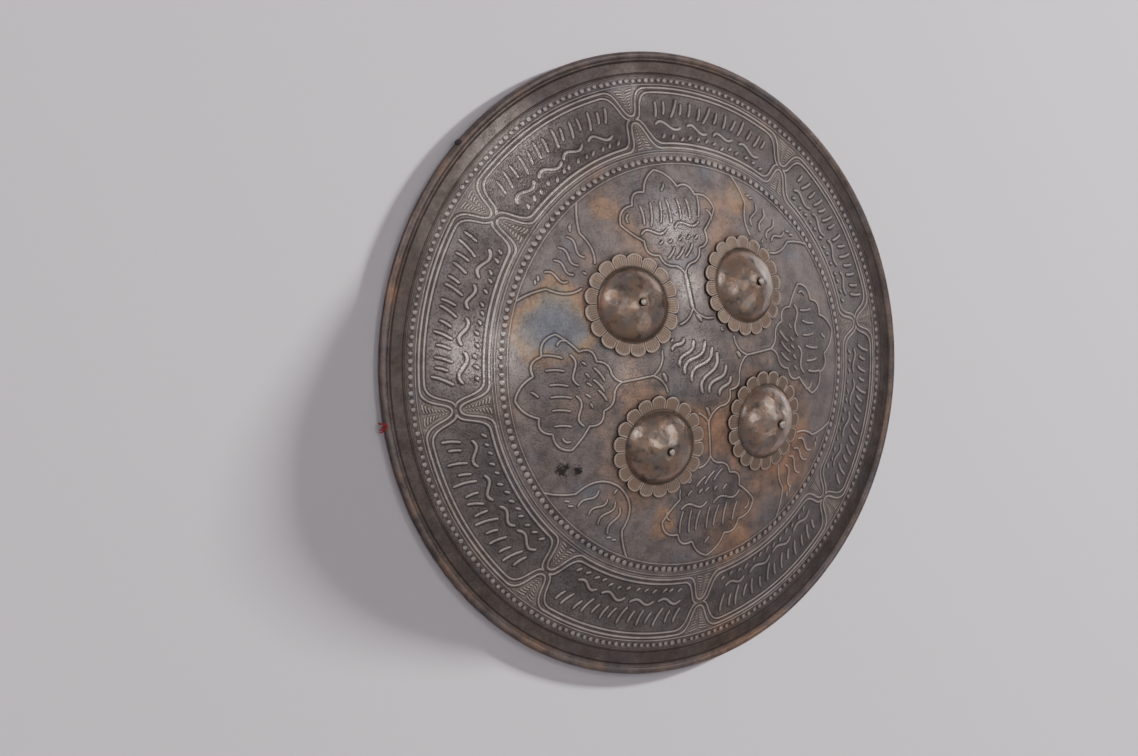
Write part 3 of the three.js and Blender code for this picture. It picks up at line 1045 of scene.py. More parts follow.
@dataclass(frozen=True)
class Boss:
    """A hollow hammered dome on a flange of petals, with the rivet through it."""

    name: str
    angle: float
    radius: float
    petals: int
    notch: float
    seed: int
    head: float
    shell: Shell
    gap: float = 0.3
    dome: float = 26.0
    rise: float = 17.0
    sheet: float = 1.2
    tip: float = 36.5
    valley: float = 31.5
    clearance: float = 0.8
    # Strength of the painted shadow under and round the flange.
    seat_shade: float = 0.9
    hole: float = 2.3
    petal_columns: int = 30
    dome_rows: int = 26
    flange_rows: int = 12
    inner_rows: int = 10
    point: float = 1.5
    blows: int = 60
    blow_turn: float = 2.39996
    blow_size: float = 4.6
    blow_depth: float = 0.36
    blow_fade: float = 4.0
    dimple: float = 0.9
    inner_dimple: float = 1.0
    dimple_width: float = 4.2
    # Strength and width of the painted shadow round the rivet in its dimple.
    dimple_shade: float = 0.7
    dimple_shade_width: float = 4.0
    foot_gap: float = 0.9
    foot_ease: float = 0.12
    foot_depth: float = 0.25
    foot_width: float = 0.6
    foot_dark: float = 0.55
    side_lip: tuple[float, float] = (0.9, 0.22)
    end_lip: tuple[float, float] = (0.93, 0.14)
    lip_rise: float = 0.3
    cut_width: float = 0.14
    cut_depth: float = 0.5
    flange_foot_dark: float = 0.8
    lines_per_petal: int = 7
    line_rise: float = 0.13
    line_fade: tuple[float, float] = (1.0, 0.8)
    line_trough_dark: float = 0.4
    line_shine: float = 0.35
    skirt_steps: tuple[float, float] = (0.25, 0.2)
    skirt_drop: float = 0.5
    under_step: float = 0.5
    hollow_step: float = 1.6
    head_rise: float = 1.3
    shank: float = 1.8
    tail: float = 4.5
    tail_height: float = 1.8
    tail_gap: float = 0.6
    rivet_sides: int = 28

    def axes(self) -> Array:
        """Outward, sideways and upward directions of the boss, with its axis through the dome's centre.

        Returns:
            Three unit vectors as rows.
        """
        turn, lean = math.radians(self.angle), math.asin(self.radius / self.shell.dome_radius)
        outward = [math.cos(lean) * math.cos(turn), math.cos(lean) * math.sin(turn), -math.sin(lean)]
        sideways = [-math.sin(turn), math.cos(turn), 0]
        upward = [math.sin(lean) * math.cos(turn), math.sin(lean) * math.sin(turn), math.cos(lean)]
        return np.array([outward, sideways, upward])

    def place(self, reach: Array, turn: Array, height: Array) -> Array:
        """Points at a reach and turn about the boss's axis and a height over the dome's centre."""
        local = np.concatenate([reach[..., None] * way(turn), height[..., None]], axis=-1)
        return local @ self.axes() + [0, 0, self.shell.centre]

    @property
    def middle(self) -> Array:
        """Plan place of the boss."""
        return self.radius * way(np.array(math.radians(self.angle)))

    def seat(self) -> Bloom:
        """The painted shadow on the ground under the flange and just round it."""
        return Bloom(*self.middle, self.tip + self.clearance, self.seat_shade)

    def covers(self, plan: Array) -> Array:
        """Whether plan points lie under or close to the flange."""
        return np.linalg.norm(plan - self.middle, axis=-1) < self.tip + self.clearance

    @property
    def seat_radius(self) -> float:
        """Distance of the flange's underside from the dish's centre."""
        return self.shell.dome_radius + self.gap

    @property
    def top_radius(self) -> float:
        """Distance of the flange's face from the dish's centre."""
        return self.seat_radius + self.sheet

    @property
    def cap_radius(self) -> float:
        """Radius of the dome's sphere."""
        return (self.dome**2 + self.rise**2) / (2 * self.rise)

    @property
    def cap_centre(self) -> float:
        """Height of the dome's sphere over the dish's centre."""
        return math.sqrt(self.top_radius**2 - self.dome**2) + self.rise - self.cap_radius

    def hammering(self, reach: Array, turn: Array) -> Array:
        """Depth of the hammer blows: each is a shallow bowl about its place, and the deepest counts.

        Args:
            reach: distances from the axis.
            turn: turns about it.

        Returns:
            The depth at each place.
        """
        draw = np.random.default_rng(self.seed)
        far = self.dome * np.sqrt((np.arange(self.blows) + 0.5) / self.blows)
        turns = np.arange(self.blows) * self.blow_turn + draw.uniform(0, 0.7, self.blows)
        spots = far[:, None] * way(turns)
        size = self.blow_size * draw.uniform(0.7, 1.2, self.blows)
        depth = self.blow_depth * draw.uniform(0.5, 1.2, self.blows)
        plan = reach[..., None] * way(turn)
        gap = np.linalg.norm(plan[..., None, :] - spots, axis=-1) / size
        return (depth * np.clip(1 - gap**2, 0, 1)).max(-1)

    def round_petals(self) -> tuple[Array, Array, Array]:
        """Columns round the flange, closer at the notches.

        A petal's edge stands at the valley plus the rest of the way to the tip times the root of
        1 - q squared, q being the place across the petal from -1 to 1.

        Returns:
            Turn about the axis, place across the petal and reach of its edge, for each column.
        """
        cell = (np.arange(self.petal_columns) + 0.5) / self.petal_columns * 2 - 1
        across = np.sin(cell * math.pi / 2)
        start = np.arange(self.petals)[:, None] + (across + 1) / 2
        turn = (start * 2 * math.pi / self.petals).ravel() + math.radians(self.notch)
        across = np.tile(across, self.petals)
        edge = self.valley + (self.tip - self.valley) * np.sqrt(1 - across**2)
        return turn, across, edge

    def sunk(self, reach: Array, dimple: float) -> Array:
        """How far the dome lies below its sphere: a dimple round the rivet and a flatter slope."""
        dip = dimple * np.exp(-((reach / self.dimple_width) ** 2))
        return dip + self.point * np.sin(math.pi * reach / self.dome) ** 2

    def crown(self, turn: Array) -> tuple[Array, Array, Marks]:
        """Rows of the hammered dome, from the rivet hole down to the flange.

        Args:
            turn: turn of each column.

        Returns:
            Reach and height of the rows, and their marks.
        """
        ends = np.arcsin(np.array([self.hole, self.dome]) / self.cap_radius)
        slope = np.linspace(*ends, self.dome_rows)[:, None]
        reach = self.cap_radius * np.sin(slope) + 0 * turn
        blows = self.hammering(reach, np.broadcast_to(turn, reach.shape))
        blows = blows * ease(reach, self.dome, self.dome - self.blow_fade)
        height = self.cap_centre + self.cap_radius * np.cos(slope)
        height = height - blows - self.sunk(reach, self.dimple)
        # Darker at the dome's foot, and round the rivet, where the dimple's darkening is painted shadow.
        foot = self.foot_dark * ease(reach, self.dome - self.foot_width, self.dome)
        groove = foot + self.dimple_shade * np.exp(-((reach / self.dimple_shade_width) ** 2))
        return reach, height, {"petal": 0 * reach, "crest": 0 * reach, "groove": groove}

    def flange(self, across: Array, edge: Array) -> tuple[Array, Array, Marks]:
        """Rows over the petals: low pillows with a thin rim and fine lines that run outwards.

        Args:
            across: place of each column across its petal.
            edge: reach of the petal's edge there.

        Returns:
            Reach and height of the rows, and their marks.
        """
        share = np.linspace(0, 1, self.flange_rows)[:, None]
        start = self.dome + self.foot_gap
        reach = start + (edge - start) * share
        inner = ease(share, 0.0, self.foot_ease)
        side = bell((np.abs(across) - self.side_lip[0]) / self.side_lip[1]) * inner
        lip = np.clip(side + bell((share - self.end_lip[0]) / self.end_lip[1]), 0, 1)
        fine = np.cos(across * math.pi * self.lines_per_petal) * inner * (1 - lip)
        fine = fine * ease(share, *self.line_fade)
        cut = bell((np.abs(across) - 1) / self.cut_width) * inner
        rise = self.lip_rise * lip + self.line_rise * fine
        rise = rise - self.cut_depth * cut - self.foot_depth * (1 - inner)
        # Darker in the notches between petals, painted shadow, at the flange's inner foot and in the fine
        # lines' troughs.
        dirt = cut + self.flange_foot_dark * (1 - inner) - self.line_trough_dark * np.clip(fine, -1, 0)
        marks = {
            "petal": inner + 0 * across,
            "crest": lip + self.line_shine * np.clip(fine, 0, 1),
            "groove": np.clip(dirt, 0, 1),
        }
        return reach, np.sqrt(self.top_radius**2 - reach**2) + rise, marks

    def back(self, edge: Array) -> tuple[Array, Array, Marks]:
        """Rows down the petals' edge, in under the flange and up inside the dome.

        Args:
            edge: reach of the petal's edge at each column.

        Returns:
            Reach and height of the rows, and their marks.
        """
        top, seat = self.top_radius, self.seat_radius
        skirt_reach = np.stack([edge + step for step in self.skirt_steps])
        skirt = np.stack([np.sqrt(top**2 - edge**2) - self.skirt_drop, np.sqrt(seat**2 - edge**2)])
        under = np.array([self.dome - self.under_step])
        hollow = self.cap_radius - self.sheet
        ends = np.arcsin(np.array([self.dome - self.hollow_step, self.hole]) / hollow)
        inside = np.linspace(*ends, self.inner_rows)
        reach = np.concatenate([under, hollow * np.sin(inside)])[:, None] + 0 * edge
        level = np.concatenate([np.sqrt(seat**2 - under**2), self.cap_centre + hollow * np.cos(inside)])
        height = np.concatenate([skirt, level[:, None] - self.sunk(reach, self.inner_dimple)])
        reach = np.concatenate([skirt_reach, reach])
        marks = {"petal": 0 * reach + 0.5, "crest": 0 * reach, "groove": 0 * reach + 1}
        return reach, height, marks

    def build(self) -> Surface:
        """Lofts rings from the rivet hole down the dome, over the petals, and back up inside.

        Returns:
            The hollow boss with its marks, a ring of metal round the rivet hole.
        """
        turn, across, edge = self.round_petals()
        rows = [self.crown(turn), self.flange(across, edge), self.back(edge)]
        reach, height = (np.concatenate([part[k] for part in rows]) for k in range(2))
        marks = {label: np.concatenate([part[2][label] for part in rows]) for label in rows[0][2]}
        rings = self.place(reach, np.broadcast_to(turn, reach.shape), height)
        return Surface.loft(rings, marks, looped=True)

    def build_rivet(self) -> Surface:
        """Lofts the rivet's profile round the boss's axis: domed head, shank and flat peened tail.

        Returns:
            The closed rivet with its marks.
        """
        head = math.sqrt(self.top_radius**2 - self.dome**2) + self.rise + self.gap
        tail = self.shell.dome_radius - self.shell.sheet - self.tail_gap
        dome = np.linspace(0.1, 1, 7)
        reach = [*(self.head * np.sin(dome * math.pi / 2)), self.head * 0.97, self.shank, self.shank]
        height = [*(head + self.head_rise * np.cos(dome * math.pi / 2)), head - 1.0, head - 1.0, tail]
        reach += [self.tail, self.tail + 0.2, self.tail - 0.3, 0.4]
        height += [tail, tail - 0.5 * self.tail_height, tail - self.tail_height, tail - self.tail_height]
        turn = circle(self.rivet_sides)
        draw = np.random.default_rng(self.seed + 50)
        lumps = 1 + 0.05 * np.sin(2 * turn + draw.uniform(0, 6))
        lumps = lumps + 0.03 * np.sin(3 * turn + draw.uniform(0, 6))
        wide = np.array(reach)[:, None] * lumps
        level = np.array(height)[:, None] * np.ones(self.rivet_sides)
        rings = self.place(wide, np.broadcast_to(turn, wide.shape), level)
        crest = np.concatenate([np.cos(dome * math.pi / 2), np.zeros(len(reach) - len(dome))])
        crest = crest[:, None] * np.ones(self.rivet_sides)
        return Surface.loft(rings, {"crest": crest})


@dataclass(frozen=True)
class RimScrap:
    """A few red fibres caught on the rim and a dark lump of dirt further round."""

    shell: Shell
    fibre_angle: float = 180.6
    fibres: int = 9
    fibre_sides: int = 6
    fibre_length: float = 5.0
    fibre_thickness: float = 0.6
    fibre_root: float = 1.5
    fibre_level: float = 4.6
    fibre_fan: float = 0.007
    fibre_spread: float = 2.0
    fibre_curl: float = 0.8
    fibre_droop: float = 2.2
    lump_angle: float = 127.3
    lump_sides: int = 10
    lump_size: float = 2.1
    lump_level: float = 4.2

    def build_fibres(self) -> Surface:
        """Lofts every fibre as a thin tube that leaves the rim, spreads out and droops.

        Returns:
            All fibres as one surface.
        """
        draw = np.random.default_rng(61)
        turn = circle(self.fibre_sides)
        share = np.linspace(0, 1, 7)
        parts = []
        for lean in np.linspace(-1, 1, self.fibres):
            angle = math.radians(self.fibre_angle) + self.fibre_fan * lean + draw.normal(0, 0.002)
            root = self.shell.rim_radius - self.fibre_root
            out = root + self.fibre_length * draw.uniform(0.6, 1.1) * share
            side = self.fibre_spread * lean * share + draw.normal(0, self.fibre_curl) * np.sin(3 * share)
            level = self.fibre_level + draw.uniform(-1, 1) - self.fibre_droop * share**2
            thick = self.fibre_thickness * (1.1 - 0.7 * share)[:, None]
            away, up = out[:, None] + 0 * turn, level[:, None] + thick * np.sin(turn)
            aside = side[:, None] - thick * np.cos(turn)
            x = away * math.cos(angle) - aside * math.sin(angle)
            y = away * math.sin(angle) + aside * math.cos(angle)
            parts.append(Surface.loft(np.stack([x, y, up], axis=-1), {"crest": 0 * up}))
        return Surface.joined(parts)

    def build_lump(self) -> Surface:
        """Lofts a small uneven ball on the outside of the rim.

        Returns:
            The closed lump.
        """
        angle = math.radians(self.lump_angle)
        polar = np.linspace(0.2, math.pi - 0.2, 7)[:, None]
        turn = circle(self.lump_sides)
        size = self.lump_size * (1 + 0.15 * np.sin(2 * turn + 1) * np.sin(polar))
        reach = self.shell.rim_radius
        x = reach * math.cos(angle) + size * np.sin(polar) * np.cos(turn)
        y = reach * math.sin(angle) + size * np.sin(polar) * np.sin(turn)
        z = self.lump_level + size * np.cos(polar)
        return Surface.loft(np.stack([x, y, z], axis=-1), {"crest": 0 * z})


class Signal:
    """A socket of a material's node tree; arithmetic on it adds Math nodes."""

    def __init__(self, tree: "Tree", socket: bpy.types.NodeSocket) -> None:
        """Keeps the tree and the output socket."""
        self.tree = tree
        self.socket = socket

    def _math(self, operation: str, *values: "Signal | float") -> "Signal":
        """A Math node of these values."""
        return self.tree.node("ShaderNodeMath", {"operation": operation}, dict(enumerate(values)))

    def __add__(self, other: "Signal | float") -> "Signal":
        """Sum."""
        return self._math("ADD", self, other)

    __radd__ = __add__

    def __sub__(self, other: "Signal | float") -> "Signal":
        """Difference."""
        return self._math("SUBTRACT", self, other)

    def __rsub__(self, other: float) -> "Signal":
        """Difference the other way round."""
        return self._math("SUBTRACT", other, self)

    def __mul__(self, other: "Signal | float") -> "Signal":
        """Product."""
        return self._math("MULTIPLY", self, other)

    __rmul__ = __mul__

    def __truediv__(self, other: "Signal | float") -> "Signal":
        """Quotient."""
        return self._math("DIVIDE", self, other)

    def __rtruediv__(self, other: float) -> "Signal":
        """Quotient the other way round."""
        return self._math("DIVIDE", other, self)

    def limited(self) -> "Signal":
        """The value held between 0 and 1."""
        return self.stepped(0, 1, "LINEAR")

    def stepped(self, low: float, high: float, kind: str = "SMOOTHSTEP") -> "Signal":
        """0 below low, 1 above high and a smooth or straight step between them."""
        inputs = {"Value": self, "From Min": low, "From Max": high}
        return self.tree.node("ShaderNodeMapRange", {"interpolation_type": kind}, inputs)


Colour = tuple[float, float, float]
Input = Signal | float | tuple | str


class Tree:
    """A material's node tree and the nodes that finishes are made of."""

    def __init__(self, name: str) -> None:
        """Makes a material whose only nodes are its shader and its output.

        Args:
            name: the material's name.
        """
        self.material = bpy.data.materials.new(name)
        self.material.use_nodes = True
        self.nodes = self.material.node_tree.nodes
        self.links = self.material.node_tree.links
        self.shader = self.nodes["Principled BSDF"]
        place = self.nodes.new("ShaderNodeTexCoord")
        self.place = Signal(self, place.outputs["Object"])

    def node(self, kind: str, settings: dict, inputs: dict, output: int | str = 0) -> Signal:
        """Adds a node.

        Args:
            kind: the node's type.
            settings: its properties, set first; "stops" are a ramp's (place, colour) pairs.
            inputs: values or signals by socket name or number.
            output: the socket to hand on.

        Returns:
            The chosen output.
        """
        made = self.nodes.new(kind)
        for key, value in settings.items():
            if key == "stops":
                ramp = made.color_ramp.elements
                for spot, colour in value[2:]:
                    ramp.new(spot)
                for element, (spot, colour) in zip(ramp, value):
                    element.position = spot
                    element.color = (*colour, 1)
            else:
                setattr(made, key, value)
        for key, value in inputs.items():
            self.feed(made.inputs[key], value)
        return Signal(self, made.outputs[output])

    def feed(self, socket: bpy.types.NodeSocket, value: Input) -> None:
        """Links a signal to a socket, or sets the socket's own value.

        Args:
            socket: the input to fill.
            value: the signal, number, colour or word for it.
        """
        if isinstance(value, Signal):
            self.links.new(value.socket, socket)
        elif socket.type == "RGBA" and len(value) == 3:
            socket.default_value = (*value, 1)
        else:
            socket.default_value = value

    def mark(self, label: str) -> Signal:
        """The painted value of that name."""
        return self.node("ShaderNodeAttribute", {"attribute_name": label}, {}, "Fac")

    def noise(self, scale: float, detail: float = 4, rough: float = 0.55, at: Signal | None = None) -> Signal:
        """Noise of a scale per metre, from 0 to 1 about a half."""
        inputs = {"Vector": at or self.place, "Scale": scale, "Detail": detail, "Roughness": rough}
        return self.node("ShaderNodeTexNoise", {}, inputs, "Fac")

    def cells(self, scale: float) -> Signal:
        """Small round punch marks of a scale per metre: 1 in the middle of each, 0 between them."""
        inputs = {"Vector": self.place, "Scale": scale}
        return 1 - self.node("ShaderNodeTexVoronoi", {}, inputs, "Distance").stepped(0.15, 0.5)

    def stretched(self, scale: tuple[float, float, float]) -> Signal:
        """The place scaled apart along its axes, for noise drawn out into streaks."""
        return self.node("ShaderNodeVectorMath", {"operation": "MULTIPLY"}, {0: self.place, 1: scale})

    def blend(self, share: Input, first: Input, second: Input) -> Signal:
        """Mixes two colours."""
        return self.node("ShaderNodeMix", {"data_type": "RGBA"}, {0: share, 6: first, 7: second}, 2)

    def bumped(self, height: Signal, strength: float, depth: float) -> None:
        """Feeds the shader's normal from a height, in millimetres at full value."""
        inputs = {"Height": height, "Strength": strength, "Distance": depth * MM}
        self.feed(self.shader.inputs["Normal"], self.node("ShaderNodeBump", {}, inputs))

    def shade(self, **values: Input) -> None:
        """Feeds or sets the shader's sockets; a name's underscores stand for spaces."""
        for key, value in values.items():
            self.feed(self.shader.inputs[key.replace("_", " ")], value)

    def rounds(self, across: float, along: float) -> Signal:
        """A place whose noise draws out along circles about the shield's middle.

        Its parts are the two unit directions times along, and the radius times across.

        Args:
            across: scale along the radius, per metre.
            along: scale round the circle.

        Returns:
            The place as a vector.
        """
        flat = self.node("ShaderNodeVectorMath", {"operation": "MULTIPLY"}, {0: self.place, 1: (1, 1, 0)})
        far = self.node("ShaderNodeVectorMath", {"operation": "LENGTH"}, {0: flat}, "Value")
        spoke = self.node("ShaderNodeVectorMath", {"operation": "NORMALIZE"}, {0: flat})
        wide = self.node("ShaderNodeVectorMath", {"operation": "MULTIPLY"}, {0: spoke, 1: (along, along, 0)})
        deep = self.node("ShaderNodeCombineXYZ", {}, {"Z": far * across})
        return self.node("ShaderNodeVectorMath", {"operation": "ADD"}, {0: wide, 1: deep})


@dataclass(frozen=True)
class DishMetal:
    """Dark patinated sheet, chased lines rubbed bright, worn places with painted highlights, grooves darkened
    with patina and painted shade.
    """

    cool: Colour = (0.21, 0.172, 0.162)
    blue: Colour = (0.150, 0.158, 0.185)
    brown: Colour = (0.31, 0.19, 0.135)
    copper: Colour = (0.40, 0.22, 0.138)
    panel: Colour = (0.130, 0.111, 0.108)
    band: Colour = (0.060, 0.042, 0.036)
    spandrel: Colour = (0.25, 0.20, 0.18)
    # Colour of rubbed crests, and of the painted highlights on worn places.
    bright: Colour = (0.49, 0.415, 0.38)
    # Colour of the mottling and punch marks, and of the grooves' patina and painted shade.
    dirt: Colour = (0.035, 0.027, 0.024)
    black: Colour = (0.012, 0.011, 0.011)
    heat_colours: tuple = (
        (0.10, (0.24, 0.17, 0.13)), (0.28, (0.46, 0.24, 0.12)), (0.42, (0.42, 0.30, 0.18)),
        (0.55, (0.25, 0.24, 0.23)), (0.80, (0.155, 0.185, 0.235)),
    )
    metallic: float = 0.85

    def make(self) -> bpy.types.Material:
        """Builds the material from the painted marks and noise of several sizes.

        Returns:
            The finish.
        """
        tree = Tree("dish_metal")
        broad = tree.noise(19, 5, 0.62)
        drift = tree.noise(31, 4, 0.6)
        cloud = tree.noise(85, 6, 0.66)
        grain = tree.noise(620, 4, 0.65)
        brushed = tree.noise(1, 4, 0.6, tree.rounds(1100, 10))
        scratched = tree.noise(1, 4, 0.7, tree.stretched((2600, 150, 150)))
        punched = tree.cells(560)
        warm = (tree.mark("warm") * 0.8 + (broad - 0.5) * 1.7 + (cloud - 0.5) * 0.9).stepped(0.12, 0.8)
        rust = (tree.mark("warm") * 0.6 + (cloud - 0.5) * 2.0 + (drift - 0.5)).stepped(0.4, 0.95)
        ground = tree.blend(drift.stepped(0.5, 0.68) * 0.6, self.cool, self.blue)
        ground = tree.blend(warm, ground, self.brown)
        ground = tree.blend(rust * 0.6, ground, self.copper)
        panel = tree.mark("panel").limited()
        ground = tree.blend(panel * 0.8, ground, self.panel)
        ground = tree.blend(tree.mark("spandrel") * 0.7, ground, self.spandrel)
        heat = tree.mark("temper") + (broad - 0.5) * 1.1 + (drift - 0.5) * 0.9 + (scratched - 0.5) * 0.4
        tint = tree.node("ShaderNodeValToRGB", {"stops": self.heat_colours}, {"Fac": heat})
        heated = (tree.mark("temper") * 4 - 0.2).limited() * heat.stepped(0.1, 0.3)
        ground = tree.blend(heated * (0.55 - panel * 0.4), ground, tint)
        ground = tree.blend(tree.mark("dull") * (1.0 - cloud * 0.5), ground, self.band)
        # Worn places lighten towards bright: polish, and painted highlight where the lamps' highlights fall.
        worn = (tree.mark("worn") * (0.4 + cloud * 1.2)).limited()
        ground = tree.blend(worn * 0.35, ground, self.bright)
        mottle = (cloud * 0.55 + grain * 0.2 + scratched * 0.25).stepped(0.38, 0.62)
        ground = tree.blend(0.56 - mottle * 0.56, ground, self.dirt)
        ground = tree.blend(punched * (0.15 + panel * 0.3), ground, self.dirt)
        specks = tree.noise(300, 3, 0.6)
        soot = (tree.mark("soot") + (specks - 0.5) * 1.8).stepped(0.55, 0.9)
        ground = tree.blend(soot * 0.85, ground, self.black)
        # The groove mark darkens the ground beside and in the chased lines, patina and painted shade, and
        # round the bosses' flanges, painted shadow.
        groove = (tree.mark("groove") + (grain - 0.5) * 0.5).limited()
        ground = tree.blend(groove * 0.58, ground, self.dirt)
        rubbed = tree.mark("crest").stepped(0.25, 0.9) * (0.14 + worn * 0.6 + cloud * 0.68)
        colour = tree.blend(rubbed.limited(), ground, self.bright)
        rough = 0.46 + (cloud - 0.5) * 0.4 + groove * 0.2 - rubbed * 0.12 - worn * 0.22
        rough = rough + (brushed - 0.5) * 0.15 + (scratched - 0.5) * 0.45
        tree.shade(Base_Color=colour, Metallic=self.metallic, Roughness=rough)
        tree.bumped(grain * 0.6 + brushed * 0.5 + scratched * 0.9 + cloud - punched * 0.5, 0.7, 0.25)
        return tree.material


@dataclass(frozen=True)
class BossMetal:
    """Hammered sheet with a brown bloom; petals paler, with rubbed rims."""

    grey: Colour = (0.19, 0.153, 0.135)
    brown: Colour = (0.235, 0.16, 0.12)
    orange: Colour = (0.28, 0.155, 0.10)
    petal: Colour = (0.205, 0.145, 0.112)
    bright: Colour = (0.36, 0.29, 0.25)
    # Colour of the dark blotches, of the darkened foot, edges and troughs, and of the painted shadow round
    # the rivet and between the petals.
    dirt: Colour = (0.03, 0.022, 0.018)
    metallic: float = 0.88

    def make(self) -> bpy.types.Material:
        """Builds the material from the painted marks and noise of several sizes.

        Returns:
            The finish.
        """
        tree = Tree("boss_metal")
        cloud = tree.noise(95, 5, 0.62)
        patch = tree.noise(170, 4, 0.6)
        grain = tree.noise(900, 3, 0.6)
        skin = tree.blend(cloud.stepped(0.38, 0.6), self.grey, self.brown)
        skin = tree.blend(patch.stepped(0.52, 0.72) * 0.7, skin, self.orange)
        skin = tree.blend(tree.noise(130, 4, 0.65).stepped(0.5, 0.68) * 0.5, skin, self.dirt)
        skin = tree.blend(tree.mark("petal") * (0.55 + patch * 0.4), skin, self.petal)
        # The groove mark darkens the dome's foot and the petals' edges and troughs, and paints shadow round
        # the rivet and in the notches between petals.
        groove = (tree.mark("groove") + (grain - 0.5) * 0.4).limited()
        skin = tree.blend(groove * 0.88, skin, self.dirt)
        rubbed = tree.mark("crest").stepped(0.2, 0.9) * (0.35 + cloud * 0.6)
        colour = tree.blend(rubbed, skin, self.bright)
        rough = 0.36 + (patch - 0.5) * 0.35 + groove * 0.3 + tree.mark("petal") * 0.08
        tree.shade(Base_Color=colour, Metallic=self.metallic, Roughness=rough)
        tree.bumped(grain * 0.4 + patch - tree.cells(230) * 0.5, 0.5, 0.28)
        return tree.material


@dataclass(frozen=True)
class RivetMetal:
    """Worn iron, rubbed on the head."""

    iron: Colour = (0.20, 0.16, 0.135)
    bright: Colour = (0.40, 0.335, 0.295)

    def make(self) -> bpy.types.Material:
        """Builds the material: dark iron, bright where the head is rubbed.

        Returns:
            The finish.
        """
        tree = Tree("rivet_metal")
        grain = tree.noise(700, 3, 0.6)
        rubbed = tree.mark("crest").stepped(0.15, 0.8) * (0.4 + grain * 0.6)
        colour = tree.blend(rubbed, self.iron, self.bright)
        tree.shade(Base_Color=colour, Metallic=0.9, Roughness=0.28 + grain * 0.22)
        tree.bumped(grain, 0.4, 0.15)
        return tree.material


@dataclass(frozen=True)
class MattScrap:
    """Matt stuff caught on the rim: crimson thread or black dirt, darker in places."""

    name: str
    light: Colour
    dark: Colour

    def make(self) -> bpy.types.Material:
        """Builds the matt material, mottled between its two colours.

        Returns:
            The finish.
        """
        tree = Tree(self.name)
        tree.shade(Base_Color=tree.blend(tree.noise(900, 3), self.dark, self.light), Roughness=0.8)
        return tree.material


@dataclass(frozen=True)
class FloorPaint:
    """Pale even studio floor."""

    pale: Colour = (0.205, 0.184, 0.199)

    def make(self) -> bpy.types.Material:
        """Builds the matt floor with the faintest unevenness.

        Returns:
            The finish.
        """
        tree = Tree("floor_paint")
        cloud = tree.noise(3, 3, 0.5)
        shade = tuple(0.97 * part for part in self.pale)
        tree.shade(Base_Color=tree.blend(cloud, shade, self.pale), Roughness=0.85)
        return tree.material


@dataclass(frozen=True)
class Softbox:
    """A soft square light, placed by how far right, up and towards the camera it is seen."""

    name: str
    right: float
    up: float
    towards: float
    distance: float
    size: float
    power: float
    colour: Colour = (1, 1, 1)


